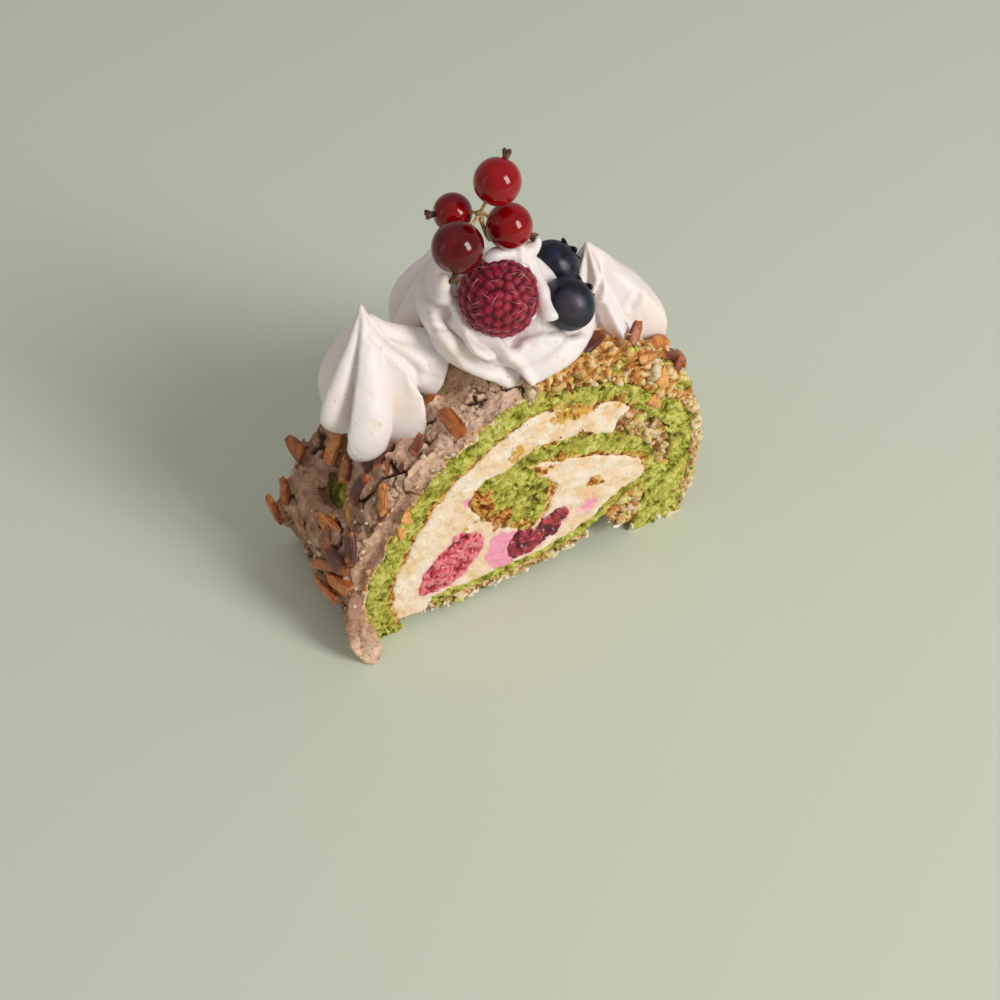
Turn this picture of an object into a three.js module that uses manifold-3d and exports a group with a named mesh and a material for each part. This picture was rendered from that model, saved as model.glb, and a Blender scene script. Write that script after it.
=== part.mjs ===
// A slice of roll cake: a green sponge sheet rolled round cream and raspberries, coated in almond
// meringue, with piped cream and berries on top. Millimetres, +Z up.
// The front cut lies at y = 0 and the slice runs back along +Y. u is the distance along the cut.
import * as THREE from 'three';
import { mergeVertices } from 'three/addons/utils/BufferGeometryUtils.js';
import Module from 'manifold-3d';

const wasm = await Module();
wasm.setup();

// ---------- driving dimensions ----------
const DEPTH = 40;             // thickness of the slice, front cut to back cut
const GAP = 0.3;              // clearance between pieces that touch
const RASPBERRY_RADIUS = 9.2;
const BLUEBERRY_RADIUS = 6.3;
const SLIVER_LENGTH = 9;      // an almond sliver
const SLIVER_WIDTH = 4.2;
const SLIVER_THICKNESS = 1.5;

// Sponge sheet: each stop on its centre line is [u, z, half the sheet's thickness]
const OUTER_SHEET = [
  [3.4, -2, 3.3], [1.5, 12, 3.4], [3.8, 21, 3.2], [7.8, 28.7, 3.3], [13, 36.5, 3], [19.5, 44.5, 3],
  [28.7, 50.8, 3.3], [36, 55.2, 3.2], [44, 57.6, 3], [51, 56.3, 2.6], [58, 54, 2.9], [65, 51.8, 2.5],
  [71, 47.8, 2.4], [77.5, 41.8, 2.2], [83.4, 36.3, 2.9], [85.8, 27, 2.6], [84.6, 17, 3.6],
  [81.2, 8, 6], [80.2, -2, 6.8],
];
const INNER_SHEET = [
  [35, 37, 2.2], [41, 40.4, 2.4], [47, 41, 3.2], [54, 39.8, 3.6], [61, 37, 3.5], [67.5, 33.5, 3],
  [73.3, 29.8, 2.5], [76.6, 25.5, 2], [77.4, 21, 1.7], [74.5, 18.2, 1.5], [69.5, 16.6, 1.3],
  [65, 13.8, 1.2], [60.5, 10.4, 1.2], [54, 8, 1.2], [45, 6.6, 1.2], [30, 6.1, 1.2], [15, 6.1, 1.2],
];
const HEART = [
  [27, 36.5], [30.5, 39.8], [37, 40.6], [42, 38], [46, 32.5], [50, 29.5], [48.4, 24], [46, 19.4],
  [40.5, 17.8], [36.2, 22], [30.6, 27], [27, 31],
];
const FOLD = [[75, 21.5], [79.5, 22], [83, 16], [80, 11], [75, 13.4]];
const BASE_MERINGUE = [
  [14.6, 3.5, 0.9], [24, 3.3, 1], [34, 3.6, 0.8], [45, 3.9, 1.1], [54, 5.5, 0.9], [59, 7.3, 0.8],
];

// Fillings and crumbs that show at the cut, as closed outlines [u, z]
const RASPBERRY_LEFT = [
  [12.8, 10], [16, 8.9], [20.4, 10], [25, 12], [27.6, 16], [29.6, 20.4], [27, 24],
  [23, 25.6], [20, 22], [16, 18.6], [13, 14.8],
];
const RASPBERRY_RIGHT = [
  [37.4, 9.6], [41, 9], [46.4, 10.6], [51, 13.6], [53.2, 18.2], [51, 20.6], [47.6, 19.4],
  [43.4, 16.6], [39.4, 18.4], [37, 14],
];
const INNER_MERINGUE = [
  [66, 40], [68.6, 43.4], [72, 43.6], [76, 40], [79.4, 36], [81, 30], [80.6, 24], [79.6, 20.6],
  [76, 21], [74, 27], [68, 34],
];
const FOLD_MERINGUE = [
  [64.4, 11.5], [66, 8], [69.5, 4.8], [73, 4.4], [74.2, 9], [75, 14.6], [74, 17.4], [68, 16],
];

// Meringue crust: its outer contour [u, z] from the left foot over the top to the right foot
const CRUST_CONTOUR = [
  [-3.3, 1.4], [-5.3, 9], [-5.9, 19], [-2.6, 29], [4.6, 38.4], [11.4, 45.6], [20, 51], [31, 58],
  [42, 63], [52, 66], [61, 66.2], [70, 63.2], [79.6, 54.6], [87, 45], [91.2, 33], [92, 20],
  [90.6, 8], [88, 1.6],
];
const CRUST_STEPS = 50;       // stretches round the contour
const CRUST_RINGS = 10;       // stretches through the depth
// Swellings of the crust: [place along the contour 0..1, y, height, reach]
const SWELLINGS = [
  [0.1, 14, 1.8, 8], [0.15, 31, 1, 8], [0.185, 22, -2.6, 9], [0.28, 12, 1.4, 9],
  [0.33, 37, 1.6, 7], [0.05, 32, -2.4, 9], [0.45, 6, 1, 8], [0.68, 5, 1.2, 7],
  [0.74, 27, 2, 9], [0.86, 12, 1.4, 8], [0.92, 31, 1.6, 9], [0.6, 38, 1.4, 8],
];
// The patch where the crust is missing and the sponge shows; turn in degrees
const BARE_PATCH = { at: 0.178, y: 22.5, length: 11, width: 8, turn: 96 };
// A crack between crust lumps at the front edge
const CRACK = { u: 42.6, z: 65, width: 2, height: 7, depth: 6 };
// The shard of meringue that leans on the left foot: each stop is [u, y, z, half width]
const SHARD = [
  [-4.4, 1.5, 17, 1.8], [-5, -1, 12, 2.6], [-4.9, -3, 7, 3.9], [-3.9, -4.6, 3, 3.6], [-3, -5.4, 0.6, 2],
];
const SHARD_THICKNESS = 1.2;

// Almond slivers that show: [contour place, y, turn on the crust in degrees, tilt in degrees, size]
const SLIVERS = [
  [0.118, 35, 10, 12, 1], [0.09, 36, 20, 12, 1.05], [0.223, 28, 5, 10, 1], [0.223, 19.6, 20, 12, 0.8],
  [0.225, 11.7, 0, 10, 1.05], [0.15, 15.4, 90, 14, 0.9], [0.24, 4.6, 40, 12, 0.85],
  [0.135, 6.5, 70, 18, 1.05],
  [0.1, 5, 95, 20, 1.05], [0.165, 4, 30, 14, 1], [0.11, 10, 120, 18, 1], [0.075, 8, 60, 14, 1],
  [0.368, 5.4, 88, 12, 1], [0.366, 16.2, 10, 12, 0.5], [0.26, 14.5, 80, 6, 1], [0.318, 7.4, 20, 12, 0.65],
  [0.565, 3.8, 10, 10, 0.9], [0.622, 3, 60, 50, 0.8], [0.682, 5, 20, 25, 0.9], [0.704, 3.6, 4, 14, 1.25],
  [0.73, 4.4, 60, 10, 0.9], [0.185, 36, 90, 15, 0.9],
];
const HIDDEN_SLIVERS = 6;    // more of them, drawn at random over the side that faces away

// Piped cream. A drop rises from its foot to its tip and has rounded lobes with sharp grooves.
const DROP_LEFT = {
  foot: [13.6, 21.6, 45.5], bend: [12.4, 21.4, 62], tip: [14, 26.8, 78.5], radius: 15.4, lobes: 9,
  turn: 0.35, twist: 0.4, depth: 0.36,
};
const DROP_BACK = {
  foot: [34, 30, 53], bend: [33.5, 32.5, 72], tip: [38.5, 33, 85], radius: 12.2, lobes: 6, turn: 0.2,
  twist: 0.9, depth: 0.24,
};
const DROP_RIGHT = {
  foot: [73, 15, 51], bend: [70.6, 16, 67], tip: [68.4, 20.6, 79.6], radius: 15, lobes: 9,
  turn: 0.5, twist: 0.6, depth: 0.32,
};
const DROP_CENTRE = {
  foot: [47.4, 20.6, 58], bend: [47, 20, 76], tip: [48.6, 16.6, 90.4], radius: 15.5, lobes: 7,
  turn: 0, twist: 1.6, depth: 0.16,
};
// Ribbons piped round the centre drop, one over the next; angles in degrees, seen from above
const RIBBON_CENTRE = [47.4, 20.6];
const RIBBONS = [
  { from: 100, to: 200, radius: 13.2, height: [68, 67], thickness: 6.8 },
  { from: 85, to: 268, radius: 13.8, height: [80, 66.5], thickness: 7 },
  { from: 205, to: 395, radius: 13, height: [68, 71], thickness: 6.9 },
  { from: 375, to: 490, radius: 13, height: [70, 68], thickness: 6.8 },
  { from: 130, to: 335, radius: 8.6, height: [74, 77], thickness: 5.4 },
];
// The tail that joins the left drop to the ribbon
const TAIL = { from: [13, 25, 70], mid: [20, 23, 64], to: [29.6, 20, 59.5], radius: [3.4, 6.4] };

// Fruit on top
const RASPBERRY = { at: [41.9, 14.4, 80.2], towards: [-0.45, -0.75, 0.5] };
const BLUEBERRIES = [
  { name: 'blueberry_upper', at: [59.4, 20.3, 77.7], crown: [0.85, 0.25, 0.35] },
  { name: 'blueberry_lower', at: [55.8, 7.6, 77.4], crown: [0.9, 0.35, 0.3] },
];
const CURRANTS = [
  { name: 'currant_top', at: [44.8, 20.2, 106.6], radius: 5.25, calyx: [0.55, 0.35, 0.75] },
  { name: 'currant_right', at: [46.9, 18.7, 95], radius: 5.2, calyx: [0.75, -0.3, -0.55] },
  { name: 'currant_front', at: [33.4, 17.3, 95.2], radius: 5.8, calyx: [-0.4, -0.5, -0.75] },
  { name: 'currant_back', at: [37.4, 27, 96.6], radius: 4.4, calyx: [-0.9, 0.2, 0.1] },
];
const STEM_NODE = [41.3, 21.6, 98.4];
const STEM_FOOT = [43.6, 21.4, 92.6];
const STEM_RADIUS = 0.5;

// ---------- colours ----------
const SPONGE_GREEN = 0x9aa83c;
const CREAM_WHITE = 0xf4ead8;
const PIPED_WHITE = 0xf3eee6;
const MERINGUE_TAN = 0xcdb193;
const RASPBERRY_RED = 0xa11f38;
const BLUEBERRY_BLUE = 0x1f2a44;
const CURRANT_RED = 0xa30f1c;
const STEM_GREEN = 0xb79a58;

// ---------- helpers ----------
const vector = ([x, y, z]) => new THREE.Vector3(x, y, z);
const mix = (a, b, t) => a + (b - a) * t;

// A repeatable random number from -1 to 1 for a cell of a lattice
function cellValue(i, j, seed) {
  const s = Math.sin(i * 127.1 + j * 311.7 + seed * 74.7) * 43758.5453;
  return (s - Math.floor(s)) * 2 - 1;
}

// Smooth noise from -1 to 1
function noise(x, y, seed) {
  const i = Math.floor(x);
  const j = Math.floor(y);
  const ease = (t) => t * t * (3 - 2 * t);
  const fx = ease(x - i);
  const fy = ease(y - j);
  const near = mix(cellValue(i, j, seed), cellValue(i + 1, j, seed), fx);
  const far = mix(cellValue(i, j + 1, seed), cellValue(i + 1, j + 1, seed), fx);
  return mix(near, far, fy);
}

function toSolid(geometry) {
  const bare = geometry.clone();
  bare.deleteAttribute('normal');
  bare.deleteAttribute('uv');
  const merged = mergeVertices(bare, 1e-4);
  const vertProperties = new Float32Array(merged.attributes.position.array);
  const triVerts = new Uint32Array(merged.index.array);
  return new wasm.Manifold(new wasm.Mesh({ numProp: 3, vertProperties, triVerts }));
}

function toGeometry(solid) {
  const mesh = solid.getMesh();
  const geometry = new THREE.BufferGeometry();
  geometry.setAttribute('position', new THREE.BufferAttribute(new Float32Array(mesh.vertProperties), 3));
  geometry.setIndex(new THREE.BufferAttribute(new Uint32Array(mesh.triVerts), 1));
  geometry.computeVertexNormals();
  return geometry;
}

const join = (solids) => solids.reduce((sum, solid) => sum.add(solid));
const cut = (solid, ...others) => others.reduce((rest, other) => rest.subtract(other), solid);

// The largest of the pieces that a cut leaves
function mainPiece(solid) {
  const pieces = solid.decompose();
  return pieces.reduce((best, piece) => (piece.volume() > best.volume() ? piece : best));
}

// A closed outline [u, z] pushed through the slice along +Y
function prism(outline, from = 0, to = DEPTH) {
  const shape = new THREE.Shape(outline.map(([u, z]) => new THREE.Vector2(u, z)));
  const geometry = new THREE.ExtrudeGeometry(shape, { depth: to - from, bevelEnabled: false, steps: 1 });
  geometry.rotateX(Math.PI / 2);
  geometry.translate(0, to, 0);
  return toSolid(geometry);
}

// A skin over rings of points, closed at both ends. Rings run right-handed about the way they advance.
// Plane rings in u and z, which may bend back on themselves, take flat ends; the others are closed by fans.
function loft(rings, flatEnds = false) {
  const size = rings[0].length;
  const points = rings.flat();
  const faces = [];
  for (let ring = 0; ring < rings.length - 1; ring++) {
    for (let i = 0; i < size; i++) {
      const a = ring * size + i;
      const b = ring * size + ((i + 1) % size);
      faces.push(a, b, b + size, a, b + size, a + size);
    }
  }
  for (const isLast of [false, true]) {
    const ring = isLast ? rings[rings.length - 1] : rings[0];
    const first = isLast ? (rings.length - 1) * size : 0;
    if (flatEnds) {
      const flat = ring.map((p) => new THREE.Vector2(p.x, p.z));
      for (const [a, b, c] of THREE.ShapeUtils.triangulateShape(flat, [])) {
        faces.push(first + a, first + (isLast ? c : b), first + (isLast ? b : c));
      }
    } else {
      const hub = points.push(middleOf(ring)) - 1;
      for (let i = 0; i < size; i++) {
        const next = (i + 1) % size;
        faces.push(hub, first + (isLast ? i : next), first + (isLast ? next : i));
      }
    }
  }
  const geometry = new THREE.BufferGeometry();
  const numbers = points.flatMap((p) => [p.x, p.y, p.z]);
  geometry.setAttribute('position', new THREE.Float32BufferAttribute(numbers, 3));
  geometry.setIndex(faces);
  return toSolid(geometry);
}

function middleOf(ring) {
  return ring.reduce((sum, p) => sum.add(p), new THREE.Vector3()).divideScalar(ring.length);
}

// ---------- outlines on the cut, as lists of [u, z] ----------
// A closed curve through a few points
function blob(points, stepsEach = 4) {
  const curve = new THREE.CatmullRomCurve3(points.map(([u, z]) => new THREE.Vector3(u, z, 0)), true);
  return curve.getPoints(points.length * stepsEach).slice(1).map((p) => [p.x, p.y]);
}

function sheetCurve(stops) {
  return new THREE.CatmullRomCurve3(stops.map(vector), false, 'centripetal');
}

// Points down the middle of a sheet
function sheetMiddle(stops, stepsEach = 4) {
  return sheetCurve(stops).getPoints((stops.length - 1) * stepsEach).map((p) => [p.x, p.y]);
}

// The edge of a sheet, on the left of its way along when side is 1 and on the right when it is -1
function sheetEdge(stops, side, grow = 0, stepsEach = 4) {
  const curve = sheetCurve(stops);
  const count = (stops.length - 1) * stepsEach;
  return Array.from({ length: count + 1 }, (_, i) => {
    const p = curve.getPoint(i / count);
    const way = curve.getTangent(i / count).setZ(0).normalize();
    const reach = side * (p.z + grow);
    return [p.x - way.y * reach, p.y + way.x * reach];
  });
}

// A sheet's whole outline, cut flat where it stands on the table
function sheet(stops, stepsEach = 3) {
  const outline = [...sheetEdge(stops, 1, 0, stepsEach), ...sheetEdge(stops, -1, 0, stepsEach).reverse()];
  return outline.map(([u, z]) => [u, Math.max(z, 0)]);
}

// The same outline with every point moved outward
function grown(outline, distance) {
  const area = outline.reduce((sum, [u, z], i) => {
    const [nextU, nextZ] = outline[(i + 1) % outline.length];
    return sum + u * nextZ - nextU * z;
  }, 0);
  const side = Math.sign(area) * distance;
  return outline.map(([u, z], i) => {
    const [u0, z0] = outline[(i + outline.length - 1) % outline.length];
    const [u1, z1] = outline[(i + 1) % outline.length];
    const length = Math.hypot(u1 - u0, z1 - z0) || 1;
    return [u + ((z1 - z0) / length) * side, z - ((u1 - u0) / length) * side];
  });
}

// A tool that cuts right through the slice and a little past both faces
const through = (outline) => prism(outline, -2, DEPTH + 2);

// ---------- sponge and fillings ----------
const SPONGE_OUTLINES = [sheet(OUTER_SHEET), sheet(INNER_SHEET), blob(HEART), blob(FOLD, 3)];
const sponge = join(SPONGE_OUTLINES.map((outline) => prism(outline)));
const spongeTool = join(SPONGE_OUTLINES.map((outline) => through(grown(outline, GAP))));

function filling(outline, ...tools) {
  return mainPiece(cut(prism(outline), spongeTool, ...tools));
}

const toolOf = (points) => through(grown(blob(points), GAP));
const innerMeringue = filling(blob(INNER_MERINGUE));
const foldMeringue = filling(blob(FOLD_MERINGUE));
const baseMeringue = filling(sheet(BASE_MERINGUE));
const raspberryLeft = filling(blob(RASPBERRY_LEFT));
const raspberryRight = filling(blob(RASPBERRY_RIGHT));

// The cream fills the coil: its rough outline runs inside the sheets and is trimmed by them
const CREAM_START = 0.05;     // where it leaves the outer sheet's foot
const CREAM_END = 0.615;      // where it thins out under the top
function creamOutline() {
  const outer = sheetMiddle(OUTER_SHEET);
  const inner = sheetMiddle(INNER_SHEET);
  const first = Math.round(CREAM_START * outer.length);
  const last = Math.round(CREAM_END * outer.length);
  const innerPart = inner.slice(Math.round(0.31 * inner.length));
  const fold = [[71.4, 45.4], [66.5, 43.4], [64.6, 39.5]];
  return [...outer.slice(first, last), ...fold, ...innerPart, [13.6, 4.3], [3, 4.3]];
}
const CREAM_HOLES = [INNER_MERINGUE, RASPBERRY_LEFT, RASPBERRY_RIGHT];
const cream = filling(creamOutline(), ...CREAM_HOLES.map(toolOf));

// ---------- meringue crust ----------
const contourPoints = CRUST_CONTOUR.map(([u, z]) => new THREE.Vector3(u, 0, z));
const contour = new THREE.CatmullRomCurve3(contourPoints, false, 'centripetal');

// The crust's own frame at a place along the contour
function crustFrame(place, y) {
  const along = contour.getTangentAt(place);
  const out = new THREE.Vector3(-along.z, 0, along.x);
  const point = contour.getPointAt(place).addScaledVector(out, crustRelief(place, y)).setY(y);
  return { point, along, out, back: new THREE.Vector3(0, 1, 0) };
}

// How far the crust stands out from its contour: crumbs, and the large swellings
function crustRelief(place, y) {
  const length = contour.getLength();
  const edge = Math.min(y, DEPTH - y);
  const calm = Math.min(1, 0.3 + edge / 5);
  let height = 0.6 * noise(place * length / 5, y / 5, 3) + 0.35 * noise(place * length / 3.2, y / 3.4, 8);
  for (const [at, centreY, rise, reach] of SWELLINGS) {
    const distance = Math.hypot((place - at) * length, y - centreY) / reach;
    height += rise * Math.exp(-2.2 * distance * distance);
  }
  return height * calm;
}

// The whole slice within the crust's outer face, reaching past both cuts where it serves as a tool
function envelope(grow = 0, past = 0, steps = CRUST_STEPS, ringCount = CRUST_RINGS) {
  const rings = [];
  for (let k = 0; k <= ringCount; k++) {
    const ring = [];
    for (let i = 0; i <= steps; i++) {
      const { point, out } = crustFrame(i / steps, (DEPTH * k) / ringCount);
      ring.push(point.addScaledVector(out, grow).setY(mix(-past, DEPTH + past, k / ringCount)));
    }
    rings.push(ring);
  }
  return loft(rings, true);
}

// A tool that clears the inside of the crust, out to the sponge
function insideTool() {
  const edge = sheetEdge(OUTER_SHEET, 1, GAP);
  const [firstU] = edge[0];
  const [lastU] = edge[edge.length - 1];
  return through([...edge, [lastU, -6], [firstU, -6]]);
}

// Turns a solid from its own axes into the frame given by three directions and a place
function placed(geometry, xAxis, yAxis, zAxis, at) {
  geometry.applyMatrix4(new THREE.Matrix4().makeBasis(xAxis, yAxis, zAxis).setPosition(at));
  return toSolid(geometry);
}

function crustPlaced(geometry, place, y, turnDegrees, tiltDegrees, lift) {
  const { point, along, out, back } = crustFrame(place, y);
  const turn = THREE.MathUtils.degToRad(turnDegrees);
  const xAxis = along.clone().multiplyScalar(Math.cos(turn)).addScaledVector(back, Math.sin(turn));
  const side = new THREE.Vector3().crossVectors(out, xAxis);
  const tilt = THREE.MathUtils.degToRad(tiltDegrees);
  const xTilted = xAxis.clone().applyAxisAngle(side, -tilt);
  const normal = out.clone().applyAxisAngle(side, -tilt);
  return placed(geometry, xTilted, side, normal, point.addScaledVector(out, lift));
}

// An almond sliver: a long oval, pointed at one end
function sliverGeometry(size, grow) {
  const length = (SLIVER_LENGTH * size) / 2 + grow;
  const width = (SLIVER_WIDTH * size) / 2 + grow;
  const thickness = SLIVER_THICKNESS + 2 * grow;
  const outline = [[1, 0], [0.35, 0.9], [-0.6, 0.85], [-1, 0], [-0.6, -0.85], [0.35, -0.9]];
  const shape = new THREE.Shape(outline.map(([x, y]) => new THREE.Vector2(x * length, y * width)));
  const geometry = new THREE.ExtrudeGeometry(shape, { depth: thickness, bevelEnabled: false });
  geometry.translate(0, 0, -thickness / 2);
  return geometry;
}

function allSlivers() {
  const hidden = Array.from({ length: HIDDEN_SLIVERS }, (_, i) => {
    const onRight = i % 2 === 0;
    const place = onRight ? mix(0.74, 0.95, (i + 1) / HIDDEN_SLIVERS) : mix(0.05, 0.3, i / HIDDEN_SLIVERS);
    const y = mix(onRight ? 14 : 28, 36, 0.5 + 0.5 * cellValue(i, 4, 5));
    return [place, y, 180 * cellValue(i, 1, 5), 18 + 10 * cellValue(i, 2, 5), 1 + 0.2 * cellValue(i, 3, 5)];
  });
  return [...SLIVERS, ...hidden];
}

function slivers(grow = 0) {
  return join(allSlivers().map(([place, y, turn, tilt, size]) =>
    crustPlaced(sliverGeometry(size, grow), place, y, turn, tilt, 0.5)));
}

function barePatch() {
  const { at, y, length, width, turn } = BARE_PATCH;
  const shape = new THREE.Shape();
  shape.absellipse(0, 0, length / 2, width / 2, 0, 2 * Math.PI);
  const geometry = new THREE.ExtrudeGeometry(shape, { depth: 12, bevelEnabled: false, curveSegments: 7 });
  return crustPlaced(geometry, at, y, turn, 0, -8);
}

// A wedge that narrows downward
function crack() {
  const { u, z, width, height, depth } = CRACK;
  const top = z + height / 2;
  return prism([[u - width / 2, top], [u + width / 2, top], [u + 0.6, z - height / 2]], -1, depth);
}

// A tapering strip with rounded edges
function shard() {
  const rings = SHARD.map(([u, y, z, half]) => {
    return Array.from({ length: 8 }, (_, i) => {
      const angle = (2 * Math.PI * i) / 8;
      return new THREE.Vector3(u + half * Math.cos(angle), y + SHARD_THICKNESS * Math.sin(angle), z);
    });
  });
  return loft(rings.reverse());
}

const crustBody = cut(envelope(), insideTool(), crack(), barePatch());
const frontTool = prism([[-20, -20], [120, -20], [120, 90], [-20, 90]], -20, 0);
const crust = mainPiece(cut(join([crustBody, cut(slivers(), frontTool), shard()]), insideTool()));

// ---------- piped cream ----------
const DROP_RINGS = 8;
const SIDES_PER_LOBE = 4;

function drop({ foot, bend, tip, radius, lobes, turn, twist, depth }, grow = 0) {
  const spine = new THREE.QuadraticBezierCurve3(vector(foot), vector(bend), vector(tip));
  const sides = lobes * SIDES_PER_LOBE;
  const rings = [];
  for (let k = 0; k <= DROP_RINGS; k++) {
    const h = Math.sin((Math.PI / 2) * (k / DROP_RINGS));
    const swell = Math.sin(Math.PI * mix(0.24, 0.985, h)) * (1 - 0.35 * h * h);
    const centre = spine.getPoint(h);
    rings.push(Array.from({ length: sides }, (_, i) => {
      const angle = (2 * Math.PI * i) / sides;
      const ridge = Math.abs(Math.cos((lobes * (angle - turn - twist * h)) / 2));
      const reach = radius * swell * (1 - depth * (1 - ridge)) + grow;
      return new THREE.Vector3(Math.cos(angle), Math.sin(angle), 0).multiplyScalar(reach).add(centre);
    }));
  }
  return loft(rings);
}

// A round rope along a path, with its own radius at each place
function rope(path, radiusAt, steps, sides, lobes = 0) {
  const rings = [];
  for (let k = 0; k <= steps; k++) {
    const s = k / steps;
    const way = path.getTangentAt(s);
    const side = new THREE.Vector3(0, 0, 1).cross(way).normalize();
    const up = new THREE.Vector3().crossVectors(way, side);
    const centre = path.getPointAt(s);
    rings.push(Array.from({ length: sides }, (_, i) => {
      const angle = (2 * Math.PI * i) / sides;
      const ridge = lobes ? Math.abs(Math.cos((lobes * (angle + 2 * s)) / 2)) : 1;
      const reach = radiusAt(s) * (0.86 + 0.14 * ridge);
      const point = centre.clone().addScaledVector(side, reach * Math.cos(angle));
      return point.addScaledVector(up, reach * Math.sin(angle));
    }));
  }
  return loft(rings);
}

function ribbon({ from, to, radius, height, thickness }, grow = 0) {
  const stops = Array.from({ length: 9 }, (_, i) => {
    const angle = THREE.MathUtils.degToRad(mix(from, to, i / 8));
    const u = RIBBON_CENTRE[0] + radius * Math.cos(angle);
    const y = RIBBON_CENTRE[1] + radius * Math.sin(angle);
    return new THREE.Vector3(u, y, mix(height[0], height[1], i / 8));
  });
  const radiusAt = (s) => thickness * Math.pow(Math.sin(Math.PI * mix(0.07, 0.93, s)), 0.6) + grow;
  return rope(new THREE.CatmullRomCurve3(stops), radiusAt, 9, 10, 5);
}

function tail(grow = 0) {
  const path = new THREE.QuadraticBezierCurve3(vector(TAIL.from), vector(TAIL.mid), vector(TAIL.to));
  return rope(path, (s) => mix(TAIL.radius[0], TAIL.radius[1], s) + grow, 4, 10);
}

const centreTool = (grow) => join([drop(DROP_CENTRE, grow), ...RIBBONS.map((one) => ribbon(one, grow))]);
const leftTool = (grow) => join([drop(DROP_LEFT, grow), tail(grow)]);

// ---------- fruit ----------
// Turns +Z towards a direction, and moves the geometry to a place
function towards(geometry, direction, at) {
  const way = vector(direction).normalize();
  const turn = new THREE.Quaternion().setFromUnitVectors(new THREE.Vector3(0, 0, 1), way);
  geometry.applyQuaternion(turn);
  geometry.translate(at[0], at[1], at[2]);
  return toSolid(geometry);
}

// A berry of drupelets, which sit in rings round its axis
function raspberry() {
  const rings = [[0, 1], [25, 6], [51, 11], [77, 13], [103, 13], [129, 10], [158, 5]];
  const drupelets = rings.flatMap(([polar, count], ring) => Array.from({ length: count }, (_, i) => {
    const fromAxis = THREE.MathUtils.degToRad(polar);
    const around = (2 * Math.PI * (i + 0.5 * ring)) / count;
    return new THREE.Vector3().setFromSphericalCoords(1, fromAxis, around);
  }));
  const geometry = new THREE.IcosahedronGeometry(1, 6);
  const position = geometry.attributes.position;
  for (let i = 0; i < position.count; i++) {
    const direction = new THREE.Vector3().fromBufferAttribute(position, i).normalize();
    const nearest = Math.min(...drupelets.map((centre) => centre.distanceTo(direction)));
    const rise = Math.sqrt(Math.max(0, 1 - (nearest / 0.34) ** 2));
    direction.multiplyScalar(RASPBERRY_RADIUS * (0.87 + 0.13 * rise));
    position.setXYZ(i, direction.x, direction.y, direction.z);
  }
  geometry.rotateX(Math.PI / 2);
  return towards(geometry, RASPBERRY.towards, RASPBERRY.at);
}

// A round berry, a little flattened along the crown's axis, with a low rim of sepals
function blueberry({ at, crown }, grow = 0) {
  const radius = BLUEBERRY_RADIUS + grow;
  const body = new THREE.SphereGeometry(radius, 15, 10);
  body.rotateX(Math.PI / 2);
  body.scale(1, 1, 0.92);
  const profile = [[1.5, -0.8], [2.6, -0.8], [2.5, 0.7], [1.7, 0.5], [1.5, -0.8]];
  const rim = new THREE.LatheGeometry(profile.map(([r, z]) => new THREE.Vector2(r + grow, z)), 8);
  rim.rotateX(Math.PI / 2);
  rim.translate(0, 0, radius * 0.92);
  return towards(body, crown, at).add(towards(rim, crown, at));
}

// A currant, with the dried flower that stays on its end
function currant({ at, radius, calyx }, grow = 0) {
  const body = new THREE.SphereGeometry(radius + grow, 12, 8);
  const flower = new THREE.CylinderGeometry(0.8 + grow, 0.5 + grow, 1.8, 5);
  flower.rotateX(Math.PI / 2);
  flower.translate(0, 0, radius + 0.4);
  return towards(body, calyx, at).add(towards(flower, calyx, at));
}

// A straight stem between two points
function stemPiece(from, to) {
  const start = vector(from);
  const way = vector(to).sub(start);
  const geometry = new THREE.CylinderGeometry(STEM_RADIUS, STEM_RADIUS, way.length(), 5);
  geometry.rotateX(Math.PI / 2);
  geometry.translate(0, 0, way.length() / 2);
  return towards(geometry, way.toArray(), from);
}

const berries = raspberry();
const berryShape = new THREE.SphereGeometry(RASPBERRY_RADIUS + GAP, 16, 10);
const berryTool = toSolid(berryShape.translate(...RASPBERRY.at));
const blueberryTool = join(BLUEBERRIES.map((one) => blueberry(one, GAP)));
const currantTool = join(CURRANTS.map((one) => currant(one, GAP)));
const stems = join([
  toSolid(new THREE.SphereGeometry(1, 6, 4).translate(...STEM_NODE)),
  stemPiece(STEM_FOOT, STEM_NODE),
  ...CURRANTS.map(({ at }) => stemPiece(STEM_NODE, at)),
]);

// ---------- trimming the toppings to one another ----------
const crustTool = join([envelope(4 * GAP, 2, CRUST_STEPS / 2, CRUST_RINGS - 2), slivers(GAP)]);
const fruitTool = join([berryTool, blueberryTool, currantTool]);
const swirlCentre = mainPiece(cut(centreTool(0), crustTool, fruitTool));
const swirlLeft = mainPiece(cut(leftTool(0), crustTool, centreTool(GAP)));
const swirlBack = mainPiece(cut(drop(DROP_BACK), crustTool, centreTool(GAP), leftTool(GAP), fruitTool));
const swirlRight = mainPiece(cut(drop(DROP_RIGHT), crustTool, centreTool(GAP), fruitTool));
const currantStem = mainPiece(cut(stems, currantTool, centreTool(GAP), fruitTool));

// ---------- the slice ----------
const slice = new THREE.Group();

function add(name, solid, color, roughness) {
  const material = new THREE.MeshStandardMaterial({ color, roughness, metalness: 0 });
  const mesh = new THREE.Mesh(toGeometry(solid), material);
  mesh.name = name;
  slice.add(mesh);
}

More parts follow.
